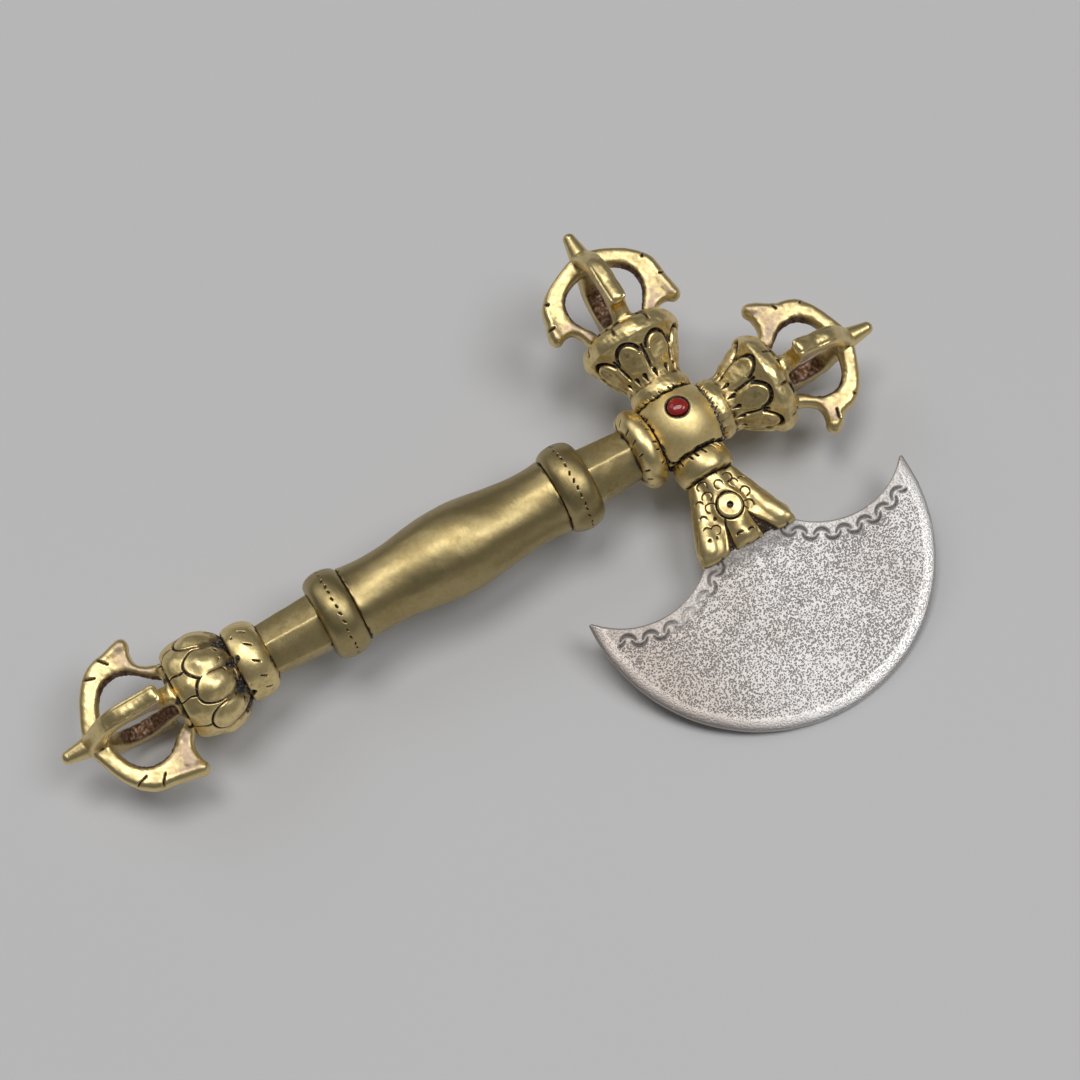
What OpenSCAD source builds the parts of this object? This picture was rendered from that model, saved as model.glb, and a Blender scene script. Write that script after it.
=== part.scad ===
// Kartika chopper, a small ritual chopper of cast brass with an iron crescent blade.
// Four arms meet at a ball: the handle, the right arm, the top arm and the makara head
// that bites the blade. Three of them end in a half-vajra on a lotus. Every arm is drawn
// along its own +Z, from the middle of the ball outwards, then turned into the plane of
// the chopper and laid down as it rests: on two spurs and the lowest line of its blade.

/* [Handle] */
// Length of the swelling grip between its two collars
grip_len = 37.1; // [30:0.1:60]
// Radius of the grip at its belly
grip_belly_r = 7.5; // [7:0.1:9]
// Radius of the two waists beside the collars
grip_waist_r = 6.1; // [5.8:0.1:6.4]
// Radius of the grip where it meets a collar
grip_end_r = 6.4; // [6.2:0.1:6.8]
// Length of the collar on the ball's side of the grip
upper_collar_len = 6.2; // [4.5:0.1:8]
// Length of the collar on the pommel's side of the grip
lower_collar_len = 6; // [4.5:0.1:8]
// Radius of both collars at their crest
collar_r = 7.55; // [7:0.05:9]
// Radius of both collars at their ends
collar_end_r = 6.2; // [5.8:0.1:6.8]
// Length of the six-sided neck between collar and ball
upper_neck_len = 8; // [6:0.1:14]
// Length of the six-sided neck between collar and pommel ring
lower_neck_len = 9.7; // [6:0.1:16]
// Corner radius of a neck at its collar
neck_wide_r = 5.35; // [5:0.05:5.6]
// Corner radius of a neck at its far end
neck_slim_r = 4.8; // [4.4:0.1:5]
// Length of the ring between the lower neck and the pommel lotus
ring_len = 5.5; // [4:0.1:7]
// Radius of that ring at its crest
ring_r = 6.5; // [6:0.1:7.5]

/* [Ball] */
// Radius of the ball where the four arms meet
ball_r = 7.35; // [7.2:0.05:8]
// Distance from the middle of the ball to the flat seat of each arm
seat = 5.3; // [5.1:0.1:5.5]
// Length of the padded roll on the handle side
handle_roll_len = 4.4; // [3.5:0.1:6]
// Radius of that roll at its crest
handle_roll_r = 6.9; // [6.2:0.1:7.4]
// Radius of that roll at its ends
handle_roll_end_r = 5; // [4.8:0.1:5.4]
// Length of the padded roll on the makara side
makara_roll_len = 4.3; // [3:0.1:5]
// Radius of that roll at its crest
makara_roll_r = 5; // [4.6:0.1:5.6]
// Radius of that roll at its ends
makara_roll_end_r = 4.3; // [4:0.1:4.6]
// Radius of the round red stone
stone_r = 1.8; // [1.2:0.1:2.4]
// Height of the stone above the rim of its pocket
stone_rise = 0.75; // [0.4:0.05:1.2]
// Depth of the pocket that holds the stone
stone_depth = 0.9; // [0.6:0.05:1.4]
// Lean of the stone away from the front of the ball, towards the top arm
stone_lean = 16; // [0:1:25]

/* [Lotuses] */
// Length of the right lotus
right_lotus_len = 12.6; // [10:0.1:16]
// Length of the top lotus
top_lotus_len = 13.4; // [10:0.1:18]
// Length of the pommel lotus
pommel_lotus_len = 10.3; // [9:0.1:14]
// Radius of the right lotus at its lip
right_lip_r = 8.5; // [8:0.1:9.5]
// Radius of the top lotus at its lip
top_lip_r = 8.4; // [8:0.1:9.5]
// Radius of the pommel lotus at its belly, between the domes
pommel_lip_r = 8.4; // [8:0.1:9.5]
// Radius of a lotus at its root
root_r = 5; // [4.8:0.1:5.4]
// Radius of the waist above the root
waist_r = 4.8; // [4.5:0.1:5.2]
// Radius of the pommel lotus at its root
pommel_root_r = 6; // [5.6:0.1:6.6]
// Radius of the flat mouth that carries a cage
mouth_r = 6.8; // [6.6:0.1:7.2]
// Number of petals round a lotus
petals = 8; // [6:1:9]
// Width of a petal
petal_w = 4; // [3:0.1:4.4]
// Height of a petal's back above the line from its foot to its tip
petal_rise = 0.5; // [0.3:0.05:0.8]

// Number of domed petals round the pommel lotus
domes = 9; // [7:1:9]
// Radius of a dome
dome_r = 3.6; // [3:0.1:4.2]
// Height of a dome above the belly of the pommel lotus
dome_rise = 0.4; // [0.2:0.05:0.6]

/* [Half-vajra cages] */
// Height of the right cage from its foot to its crown
right_cage_len = 14.2; // [13:0.1:20]
// Height of the top cage
top_cage_len = 15.1; // [13:0.1:20]
// Height of the pommel cage
pommel_cage_len = 16.4; // [13:0.1:22]
// Reach of the spurs on the two cages of the handle line, on which the chopper rests
spur_r = 12.5; // [11.8:0.1:14]
// Reach of the spurs on the top cage
top_spur_r = 11; // [10.6:0.1:12.5]
// Reach of the shoulder on the right cage
right_shoulder_r = 10.4; // [9.6:0.1:11]
// Reach of the shoulder on the top cage
top_shoulder_r = 10.1; // [9.6:0.1:10.4]
// Reach of the shoulder on the pommel cage
pommel_shoulder_r = 11.4; // [10:0.1:11.6]
// Height of a spur's tip above the foot of its prong
spur_h = 3.1; // [2.4:0.1:4]
// How much further out one side spur of a cage stands than its twin, as cast
spur_skew = 2.4; // [0:0.1:2.6]
// Width of a prong across its flat sides
prong_w = 2.7; // [2.2:0.1:3.2]
// Depth of a prong's bar at the shoulder
bar_depth = 3.2; // [2.6:0.1:3.8]
// Radius over the feet of the prongs
foot_r = 6.1; // [5.8:0.1:6.4]
// Radius of the rounded end of a spur
spur_tip_r = 0.55; // [0.4:0.05:0.8]
// Radius of the blunt bud on the crown
bud_r = 1.35; // [1:0.05:1.6]
// Length of the bud beyond the crown
bud_len = 4.5; // [3:0.1:5]
// Thickness of the plate that joins the feet
foot_plate_t = 0.8; // [0.6:0.1:1.2]
// Radius of the spigot under the plate, which sits in the mouth of the lotus
spigot_r = 4.6; // [4:0.1:4.8]
// Depth of the spigot
spigot_len = 1.4; // [1:0.1:2]

/* [Makara head] */
// Length of the head from the roll to its mouth
head_len = 12.95; // [12:0.05:16]
// Half width of the head at its mouth
mouth_half = 8.6; // [8:0.05:9]
// Half width of the head at its crown
crown_half = 4; // [3.8:0.1:4.3]
// Height of the brow above the middle plane of the head
brow_r = 3.2; // [3:0.05:3.3]
// Thickness of the sunk cheeks between snout and lips
cheek_t = 3.6; // [3.4:0.1:4]
// Radius of a lip where it leaves the crown
lip_r = 2; // [1.8:0.05:2.2]
// Radius of a lip at its rounded end
lip_end_r = 2.15; // [2:0.05:2.4]
// Radius of the snout at the nostrils
snout_r = 2.75; // [2.4:0.05:3]
// Distance from the head's crown to the eye
eye_at = 6.1; // [5.6:0.1:6.6]
// Radius of the eye, which is the head of the rivet through the tang
eye_r = 2.05; // [1.8:0.05:2.3]
// Height of the eye above the middle plane of the head
eye_height = 3.3; // [3.1:0.05:3.6]
// Depth of metal between the cheek and the flat on which the eye sits
eye_bed = 0.2; // [0.1:0.05:0.3]
// Width of the groove round the eye
eye_groove = 0.2; // [0.1:0.05:0.3]
// Radius of the rivet's shank
rivet_r = 1; // [0.7:0.05:1.2]
// Radius of the pupil drilled in the eye
pupil_r = 0.5; // [0.3:0.05:0.6]
// Depth of the pupil
pupil_depth = 0.6; // [0.3:0.05:0.8]

/* [Blade] */
// Radius of the cutting edge
blade_r = 29.6; // [27:0.1:34]
// Distance from the mouth of the head down to the middle of the edge's circle
blade_drop = 1.4; // [0:0.1:3]
// Thickness of the blade
blade_t = 1.8; // [1.2:0.1:2]
// Thickness left at the cutting edge
edge_t = 0.5; // [0.3:0.05:0.8]
// Width of the ground bevel along the edge
bevel_w = 2.2; // [1.5:0.1:4]
// Radius of the bay between head and horn
bay_r = 14.4; // [13:0.1:16]
// Height of the bay's middle above the mouth of the head
bay_rise = 10.6; // [9.5:0.1:11.5]
// Height taken off the sharp tip of a horn
horn_blunt = 0.45; // [0.2:0.05:0.8]
// Width of the tang inside the head
tang_w = 9; // [7:0.1:10]
// Length of the tang inside the head
tang_len = 9.6; // [9:0.1:10]

/* [Rod, studs and fits] */
// Radius of the iron rod in the handle and of the studs in the other arms
rod_r = 1.5; // [1.2:0.1:1.8]
// How far rod and studs reach into the ball
ball_hole = 3.4; // [2.5:0.1:3.6]
// How far the stud reaches into the makara head
head_hole = 2.2; // [1.5:0.1:2.6]
// Thickness of metal over a blind hole in a cage
hole_roof = 0.6; // [0.4:0.1:0.8]
// Clearance between a piece and what it is fitted over
fit = 0.05; // [0.02:0.01:0.1]
// Gap left at the bottom of a blind hole
end_gap = 0.2; // [0.1:0.05:0.3]

/* [Hidden] */
// Turned surfaces and bores are true rounds at this count
$fn = 64;
// How far a cutter runs past the face it opens
past = 1;

// Places along the handle arm, outwards from the middle of the ball
neck_z = seat + handle_roll_len;
upper_collar_z = neck_z + upper_neck_len;
grip_z = upper_collar_z + upper_collar_len;
lower_collar_z = grip_z + grip_len;
lower_neck_z = lower_collar_z + lower_collar_len;
ring_z = lower_neck_z + lower_neck_len;
pommel_lotus_z = ring_z + ring_len;
pommel_cage_z = pommel_lotus_z + pommel_lotus_len;
pommel_reach = pommel_cage_z + pommel_cage_len + bud_len;

// Places along the other arms
right_cage_z = seat + right_lotus_len;
right_reach = right_cage_z + right_cage_len + bud_len;
top_cage_z = seat + top_lotus_len;
top_reach = top_cage_z + top_cage_len + bud_len;
head_z = seat + makara_roll_len;
mouth_z = head_z + head_len;
eye_z = head_z + eye_at;
tang_z = mouth_z - tang_len;
eye_seat_h = cheek_t / 2 + eye_bed;
edge_m = mouth_z + blade_drop;
edge_z = edge_m + blade_r;

// Middle of a bay, and the sharp tip where the bay's circle meets the edge's circle
bay_x = mouth_half + sqrt(bay_r * bay_r - bay_rise * bay_rise);
bay_z = mouth_z - bay_rise;
bay_gap = norm([bay_x, bay_z - edge_m]);
horn_along = (bay_gap * bay_gap + blade_r * blade_r - bay_r * bay_r) / (2 * bay_gap);
horn_off = sqrt(blade_r * blade_r - horn_along * horn_along);
horn_z = edge_m + (horn_along * (bay_z - edge_m) - horn_off * bay_x) / bay_gap
       + 2 * horn_off * bay_x / bay_gap + horn_blunt;

// Depth of the blind hole up into a cage, from the underside of its spigot
cage_hole = spigot_len + foot_plate_t - hole_roof;

// The chopper leans until its blade, by the edge or the heel of the bevel, touches the
// level of the spurs behind it
edge_lean = atan((spur_r - edge_t / 2) / (edge_z - prong_w / 2));
heel_lean = atan((spur_r - blade_t / 2) / (edge_z - bevel_w - prong_w / 2));
lean = min(edge_lean, heel_lean);
rest_h = spur_r * cos(lean) + prong_w / 2 * sin(lean);
far_y = (top_reach - bud_r) * cos(lean) + bud_r;
near_y = -edge_z * cos(lean) - edge_t / 2 * sin(lean);
mid_x = (right_reach - pommel_reach) / 2;
mid_y = (far_y + near_y) / 2;

// Turns that point an arm's +Z out of the ball
HANDLE = [0, -90, 0];
RIGHT = [0, 90, 0];
TOP = [-90, 0, 0];
MAKARA = [90, 0, 0];

// Outlines

// A point of the cubic curve from a to d, pulled towards b and c
function cubic(a, b, c, d, t) =
    pow(1 - t, 3) * a + 3 * pow(1 - t, 2) * t * b + 3 * (1 - t) * t * t * c + t * t * t * d;

// The curve from a to d without its first point, in n steps
function sweep(a, b, c, d, n = 7) = [for (i = [1:n]) cubic(a, b, c, d, i / n)];

// The same list of points from its last to its first
function backwards(list) = [for (i = [len(list) - 1:-1:0]) list[i]];

// An arc about m, from angle a to angle b, in n steps
function arc(m, r, a, b, n = 6) =
    [for (i = [0:n]) m + r * [cos(a + (b - a) * i / n), sin(a + (b - a) * i / n)]];

// Outline of a roll, in radius and height: a padded crest between two flat ends
function roll_outline(h, start_r, crest_r, end_r) =
    let (pull = (8 * crest_r - start_r - end_r) / 6)
    concat(
        [[0, 0], [start_r, 0]],
        sweep([start_r, 0], [pull, 0.1 * h], [pull, 0.9 * h], [end_r, h], 12),
        [[0, h]]);

// Half the side line of the grip, from a collar over the waist to the belly
function grip_half() =
    let (end = [grip_end_r, 0],
         rise = [1.04 * grip_waist_r, 0.23 * grip_len],
         belly = [grip_belly_r, grip_len / 2])
    concat(
        [end],
        sweep(end, [grip_waist_r, 0.06 * grip_len], [0.97 * grip_waist_r, 0.14 * grip_len], rise, 5),
        sweep(rise, [1.11 * grip_waist_r, 0.32 * grip_len], [grip_belly_r, 0.38 * grip_len], belly, 6));

// Outline of the right and top lotus: padded root, waist, flare and rounded lip
function bell_outline(h, flare_r) = concat(
    [[0, 0], [root_r, 0]],
    sweep([root_r, 0], [1.16 * root_r, 0.04 * h], [1.1 * root_r, 0.15 * h],
          [1.02 * waist_r, 0.2 * h], 5),
    sweep([1.02 * waist_r, 0.2 * h], [0.93 * waist_r, 0.28 * h], [0.74 * flare_r, 0.5 * h],
          [flare_r, 0.78 * h], 9),
    sweep([flare_r, 0.78 * h], [1.03 * flare_r, 0.9 * h], [1.12 * mouth_r, h], [mouth_r, h], 5),
    [[0, h]]);

// Outline of the pommel lotus, which is rounder: it swells at once from its root
function bulb_outline(h, belly_r) = concat(
    [[0, 0], [pommel_root_r, 0]],
    sweep([pommel_root_r, 0], [1.2 * pommel_root_r, 0.12 * h], [belly_r, 0.3 * h],
          [belly_r, 0.58 * h], 8),
    sweep([belly_r, 0.58 * h], [belly_r, 0.84 * h], [1.1 * mouth_r, h], [mouth_r, h], 7),
    [[0, h]]);

// Outline of one prong, in radius and height, from the axis out to its spur.
// The bar leaves its foot, throws a spur back over the lotus and curves in to the crown.
function prong_outline(h, tip_r, shoulder_r, tip_h) =
    let (reach = tip_r - foot_r,
         spur_m = [tip_r - spur_tip_r, tip_h],
         hollow = [foot_r + 0.5 * reach, 0.95 * tip_h],
         shoulder = [shoulder_r, 0.54 * h],
         inside = [shoulder_r - bar_depth, 0.47 * h],
         foot_in = foot_r - 0.7 * prong_w,
         crown_in = 0.81 * h)
    concat(
        [[foot_in, 0], [foot_r, 0]],
        sweep([foot_r, 0], [foot_r + 0.03 * reach, 0.5 * tip_h],
              [foot_r + 0.2 * reach, tip_h], hollow, 6),
        sweep(hollow, [foot_r + 0.65 * reach, 0.92 * tip_h], [tip_r - 2.2 * spur_tip_r, tip_h - spur_tip_r],
              spur_m + spur_tip_r * [cos(-90), sin(-90)], 4),
        arc(spur_m, spur_tip_r, -75, 30, 7),
        sweep(spur_m + spur_tip_r * [cos(30), sin(30)], [tip_r - 0.1 * reach, tip_h + 0.13 * h],
              [shoulder_r + 0.02 * reach, 0.4 * h], shoulder, 6),
        sweep(shoulder, [0.98 * shoulder_r, 0.77 * h], [0.55 * shoulder_r, 0.9 * h],
              [bud_r, h], 9),
        [[0, h], [0, crown_in]],
        sweep([0, crown_in], [0.62 * inside[0], 0.98 * crown_in], [inside[0], 0.67 * h],
              inside, 9),
        sweep(inside, [inside[0], 0.22 * h], [foot_in, 0.2 * h], [foot_in, foot_plate_t / 4], 7));

// Shared forms

// A turned piece of height h with the rod's hole through it
module turned(outline, h) {
    difference() {
        rotate_extrude() polygon(outline);
        translate([0, 0, -past]) cylinder(h = h + 2 * past, r = rod_r + fit);
    }
}

// A round bar that tapers from a to b, both in the plane y = 0, with ball ends
module taper_bar(a, b, r_a, r_b) {
    run = b - a;
    translate([a[0], 0, a[1]]) {
        rotate([0, atan2(run[0], run[1]), 0]) cylinder(h = norm(run), r1 = r_a, r2 = r_b);
        sphere(r = r_a);
    }
    translate([b[0], 0, b[1]]) sphere(r = r_b);
}

// A petal from its foot to its tip, each in radius and height: a long egg, sunk until only
// its back stands out
module petal(foot, tip) {
    run = tip - foot;
    half_w = petal_w / 2;
    rotate([0, atan2(run[0], run[1]), 0]) {
        // In this turned frame the line from foot to tip is straight up
        across = cross(foot, run) / norm(run);
        up = (foot * run) / norm(run);
        translate([across + petal_rise - half_w, 0, up + norm(run) / 2]) rotate_extrude()
            polygon([for (a = [-90:15:90]) [half_w * cos(a), norm(run) / 2 * sin(a)]]);
    }
}

// The body of a lotus with its petals as children, the rod's hole, and the cup for a
// cage's spigot
module lotus(outline, h) {
    difference() {
        union() {
            rotate_extrude() polygon(outline);
            children();
        }
        translate([0, 0, -past]) cylinder(h = h + 2 * past, r = rod_r + fit);
        translate([0, 0, h - spigot_len]) cylinder(h = spigot_len + past, r = spigot_r + fit);
    }
}

// What is repeated round an arm, count times, with the arm's front between two copies
module round_arm(count) {
    for (i = [0:count - 1])
        rotate([0, 0, (i + 0.5) * 360 / count]) children();
}

module bell_lotus(h, flare_r) {
    lotus(bell_outline(h, flare_r), h)
        round_arm(petals) petal([waist_r, 0.24 * h], [0.96 * flare_r, 0.76 * h]);
}

// A half-vajra: four prongs on a plate, a spigot with a blind hole, and the bud.
// The spur on the side at angle high stands out furthest.
module cage(h, tip_r, shoulder_r, high) {
    difference() {
        union() {
            for (a = [0:90:270])
                rotate([90, 0, a]) linear_extrude(height = prong_w, center = true)
                    polygon(prong_outline(h, tip_r, shoulder_r, spur_h + spur_skew / 2 * cos(a - high)));
            cylinder(h = foot_plate_t, r = foot_r);
            translate([0, 0, fit - spigot_len]) cylinder(h = spigot_len, r = spigot_r);
        }
        translate([0, 0, -spigot_len - past]) cylinder(h = cage_hole + past, r = rod_r + fit);
    }
    translate([0, 0, h]) bud();
}

// The blunt bud where the prongs meet: a short neck and a ball
module bud() {
    translate([0, 0, -bud_r]) cylinder(h = bud_len, r1 = 1.2 * bud_r, r2 = 0.8 * bud_r);
    translate([0, 0, bud_len - bud_r]) sphere(r = bud_r);
}

// A neck: a six-sided bar that slims from its collar to its far end
module neck(h, r_start, r_end) {
    difference() {
        cylinder(h = h, r1 = r_start, r2 = r_end, $fn = 6);
        translate([0, 0, -past]) cylinder(h = h + 2 * past, r = rod_r + fit);
    }
}

// A plain bar inside an arm, from the ball's hole to a height on the arm's axis
module stud(to) {
    from = seat - ball_hole + end_gap;
    translate([0, 0, from]) cylinder(h = to - from, r = rod_r);
}

// A stud that ends in the blind hole of the cage that stands at height z
module cage_stud(z) {
    stud(z - spigot_len + cage_hole - end_gap);
}

// The whole chopper is turned and moved as one, so that it lies on the ground
module lay() {
    translate([-mid_x, -mid_y, rest_h]) rotate([lean, 0, 0]) children();
}

// A piece of an arm starts at height z on the arm's axis
module on_arm(arm, z = 0) {
    lay() rotate(arm) translate([0, 0, z]) children();
}

// The place of the red stone: the ball's front, leaned towards the top arm
module at_stone() {
    rim_h = sqrt(ball_r * ball_r - stone_r * stone_r);
    lay() rotate([-stone_lean, 0, 0]) translate([0, 0, rim_h - stone_depth]) children();
}

// Ball and stone

module ball() {
    color("goldenrod") difference() {
        lay() difference() {
            intersection() {
                sphere(r = ball_r);
                cube([2 * seat, 2 * seat, 2 * ball_r], center = true);
            }
            for (arm = [HANDLE, RIGHT, TOP, MAKARA])
                rotate(arm) translate([0, 0, seat - ball_hole])
                    cylinder(h = ball_hole + past, r = rod_r + fit);
        }
        at_stone() cylinder(h = stone_depth + past, r = stone_r + fit);
    }
}

module red_stone() {
    color("darkred") at_stone() rotate_extrude()
        polygon(concat([[0, 0], [stone_r, 0]],
            [for (a = [0:15:90]) [stone_r * cos(a), stone_depth + stone_rise * sin(a)]]));
}

// Handle, from the ball to the pommel

module handle_roll() {
    color("goldenrod") on_arm(HANDLE, seat) turned(roll_outline(handle_roll_len,
        handle_roll_end_r, handle_roll_r, handle_roll_end_r), handle_roll_len);
}

module upper_neck() {
    color("goldenrod") on_arm(HANDLE, neck_z) neck(upper_neck_len, neck_slim_r, neck_wide_r);
}

module upper_collar() {
    color("goldenrod") on_arm(HANDLE, upper_collar_z) turned(roll_outline(upper_collar_len,
        collar_end_r, collar_r, collar_end_r), upper_collar_len);
}

module grip() {
    far_half = [for (p = backwards(grip_half())) [p[0], grip_len - p[1]]];
    color("goldenrod") on_arm(HANDLE, grip_z) turned(concat([[0, 0]], grip_half(),
        [for (i = [1:len(far_half) - 1]) far_half[i]], [[0, grip_len]]), grip_len);
}

module lower_collar() {
    color("goldenrod") on_arm(HANDLE, lower_collar_z) turned(roll_outline(lower_collar_len,
        collar_end_r, collar_r, collar_end_r), lower_collar_len);
}

module lower_neck() {
    color("goldenrod") on_arm(HANDLE, lower_neck_z) neck(lower_neck_len, neck_wide_r, neck_slim_r);
}

module pommel_ring() {
    color("goldenrod") on_arm(HANDLE, ring_z)
        turned(roll_outline(ring_len, neck_slim_r, ring_r, pommel_root_r), ring_len);
}

module pommel_lotus() {
    h = pommel_lotus_len;
    color("goldenrod") on_arm(HANDLE, pommel_lotus_z) lotus(bulb_outline(h, pommel_lip_r), h)
        round_arm(domes) translate([pommel_lip_r + dome_rise - dome_r, 0, 0.45 * h])
            sphere(r = dome_r);
}

module pommel_cage() {
    color("goldenrod") on_arm(HANDLE, pommel_cage_z)
        cage(pommel_cage_len, spur_r, pommel_shoulder_r, 90);
}

module handle_rod() {
    color("dimgray") on_arm(HANDLE) cage_stud(pommel_cage_z);
}

// Right and top arms

module right_lotus() {
    color("goldenrod") on_arm(RIGHT, seat) bell_lotus(right_lotus_len, right_lip_r);
}

module right_cage() {
    color("goldenrod") on_arm(RIGHT, right_cage_z)
        cage(right_cage_len, spur_r, right_shoulder_r, 270);
}

module right_stud() {
    color("dimgray") on_arm(RIGHT) cage_stud(right_cage_z);
}

module top_lotus() {
    color("goldenrod") on_arm(TOP, seat) bell_lotus(top_lotus_len, top_lip_r);
}

module top_cage() {
    color("goldenrod") on_arm(TOP, top_cage_z)
        cage(top_cage_len, top_spur_r, top_shoulder_r, 180);
}

module top_stud() {
    color("dimgray") on_arm(TOP) cage_stud(top_cage_z);
}

// Makara head and blade. On this arm +X runs along the handle line and Y is the thickness

module makara_roll() {
    color("goldenrod") on_arm(MAKARA, seat) turned(roll_outline(makara_roll_len,
        makara_roll_end_r, makara_roll_r, makara_roll_end_r), makara_roll_len);
}

module makara_head() {
    color("goldenrod") on_arm(MAKARA) difference() {
        intersection() {
            union() {
                cheeks();
                for (side = [-1, 1])
                    taper_bar([side * (crown_half - lip_r), head_z],
                              [side * (mouth_half - lip_end_r), mouth_z - lip_end_r], lip_r, lip_end_r);
                taper_bar([0, eye_z], [0, mouth_z - 0.6 * snout_r], 0.8 * snout_r, snout_r);
                taper_bar([0, head_z], [0, eye_z], brow_r, 0.92 * brow_r);
                translate([0, 0, eye_z]) rotate([90, 0, 0])
                    cylinder(h = 1.8 * eye_height, r = 1.34 * eye_r, center = true);
            }
            translate([-2 * mouth_half, -mouth_half, head_z])
                cube([4 * mouth_half, 2 * mouth_half, head_len]);
        }
        // Slot for the tang
        translate([-tang_w / 2 - fit, -blade_t / 2 - fit, tang_z - end_gap])
            cube([tang_w + 2 * fit, blade_t + 2 * fit, tang_len + end_gap + past]);
        // Hole for the stud from the ball
        translate([0, 0, head_z - past]) cylinder(h = head_hole + past, r = rod_r + fit);
        // Hole for the rivet, sunk round both eyes
        translate([0, 0, eye_z]) rotate([90, 0, 0]) {
            cylinder(h = 4 * eye_height, r = rivet_r + fit, center = true);
            for (side = [0, 180])
                rotate([side, 0, 0]) translate([0, 0, eye_seat_h])
                    cylinder(h = eye_height, r = eye_r + eye_groove);
        }
    }
}

// The sunk cheeks: a flat web with hollow sides, from the crown to the mouth
module cheeks() {
    side = concat([[0.9 * crown_half, head_z]],
        sweep([0.9 * crown_half, head_z], [crown_half, head_z + 0.3 * head_len],
              [0.75 * mouth_half, mouth_z - 0.35 * head_len], [mouth_half, mouth_z], 6));
    rotate([90, 0, 0]) linear_extrude(height = cheek_t, center = true)
        polygon(concat(side, [for (p = backwards(side)) [-p[0], p[1]]]));
}

module makara_stud() {
    color("dimgray") on_arm(MAKARA) stud(head_z + head_hole - end_gap);
}

// The rivet: a shank through head and tang with a rounded eye at each end
module eye_rivet() {
    crest = eye_height - eye_seat_h;
    color("goldenrod") on_arm(MAKARA, eye_z) rotate([90, 0, 0]) difference() {
        union() {
            cylinder(h = 2 * eye_seat_h + crest, r = rivet_r, center = true);
            for (side = [0, 180])
                rotate([side, 0, 0]) translate([0, 0, eye_seat_h]) rotate_extrude()
                    polygon(concat([[0, 0], [eye_r, 0]],
                        sweep([eye_r, 0.7 * crest], [eye_r, 0.9 * crest], [0.7 * eye_r, crest],
                              [0, crest], 5)));
        }
        for (side = [0, 180])
            rotate([side, 0, 0]) translate([0, 0, eye_height - pupil_depth])
                cylinder(h = pupil_depth + past, r = pupil_r);
    }
}

module blade() {
    flat_r = blade_r - bevel_w;
    color("lightgray") on_arm(MAKARA) rotate([90, 0, 0]) difference() {
        union() {
            intersection() {
                // The whole disc with its bevel
                translate([0, edge_m, 0]) rotate_extrude($fn = 180)
                    polygon([[0, -blade_t / 2], [flat_r, -blade_t / 2], [blade_r, -edge_t / 2],
                             [blade_r, edge_t / 2], [flat_r, blade_t / 2], [0, blade_t / 2]]);
                linear_extrude(height = 2 * blade_t, center = true) blade_plan();
            }
            translate([-tang_w / 2, tang_z, -blade_t / 2]) cube([tang_w, tang_len + past, blade_t]);
        }
        translate([0, eye_z, 0]) cylinder(h = 2 * blade_t, r = rivet_r + fit, center = true);
    }
}

// What is left of the disc: the bays, the room above the horns and the room of the head go
module blade_plan() {
    difference() {
        translate([0, edge_m]) circle(r = 1.1 * blade_r, $fn = 180);
        for (side = [0, 1])
            mirror([side, 0]) {
                translate([bay_x, bay_z]) circle(r = bay_r, $fn = 128);
                translate([bay_x, horn_z - 2 * blade_r]) square(2 * blade_r);
            }
        translate([-bay_x, mouth_z - 2 * bay_x]) square(2 * bay_x);
    }
}

ball();
red_stone();
handle_roll();
upper_neck();
upper_collar();
grip();
lower_collar();
lower_neck();
pommel_ring();
pommel_lotus();
pommel_cage();
handle_rod();
right_lotus();
right_cage();
right_stud();
top_lotus();
top_cage();
top_stud();
makara_roll();
makara_head();
makara_stud();
eye_rivet();
blade();
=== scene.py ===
# %% [markdown]
# # A kartika chopper in cast brass and iron
# A kartika is a small ritual chopper of the Himalaya. Four arms meet at a brass ball: the
# handle, two arms that end in a half-vajra on a lotus, and a makara head that bites an
# iron blade. Every piece is already there as a solid of the right size. What it lacks is
# the hand of the maker: chased petals, punched dots, file marks, pits and patina. This
# lesson makes those, as real relief in the meshes and as finish in the materials.

# %% Load the solids
import math

import bpy
import numpy as np
from mathutils import Matrix, Vector


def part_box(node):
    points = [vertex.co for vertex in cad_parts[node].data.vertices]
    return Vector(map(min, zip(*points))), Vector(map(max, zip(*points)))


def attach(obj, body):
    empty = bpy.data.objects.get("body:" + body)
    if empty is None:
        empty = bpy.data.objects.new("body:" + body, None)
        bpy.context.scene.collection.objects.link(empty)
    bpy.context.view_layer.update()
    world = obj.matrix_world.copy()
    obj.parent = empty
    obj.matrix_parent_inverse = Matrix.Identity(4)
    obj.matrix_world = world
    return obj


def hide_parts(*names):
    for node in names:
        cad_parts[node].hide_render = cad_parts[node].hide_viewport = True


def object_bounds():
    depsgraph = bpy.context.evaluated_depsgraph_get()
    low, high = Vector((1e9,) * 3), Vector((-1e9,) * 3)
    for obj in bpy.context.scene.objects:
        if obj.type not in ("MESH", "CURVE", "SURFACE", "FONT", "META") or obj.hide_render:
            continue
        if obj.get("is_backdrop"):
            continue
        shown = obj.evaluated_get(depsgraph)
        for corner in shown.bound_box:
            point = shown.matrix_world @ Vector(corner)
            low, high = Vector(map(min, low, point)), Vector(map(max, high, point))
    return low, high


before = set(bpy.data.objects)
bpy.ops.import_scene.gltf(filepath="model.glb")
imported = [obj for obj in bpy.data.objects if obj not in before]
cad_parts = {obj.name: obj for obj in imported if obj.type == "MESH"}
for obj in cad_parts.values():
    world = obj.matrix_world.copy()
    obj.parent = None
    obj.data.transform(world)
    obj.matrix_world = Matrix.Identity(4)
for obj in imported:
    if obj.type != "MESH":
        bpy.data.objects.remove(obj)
solid_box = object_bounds()
print("solids:", len(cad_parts), "box in mm:",
      [round(1000 * (b - a), 1) for a, b in zip(*solid_box)])

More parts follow.
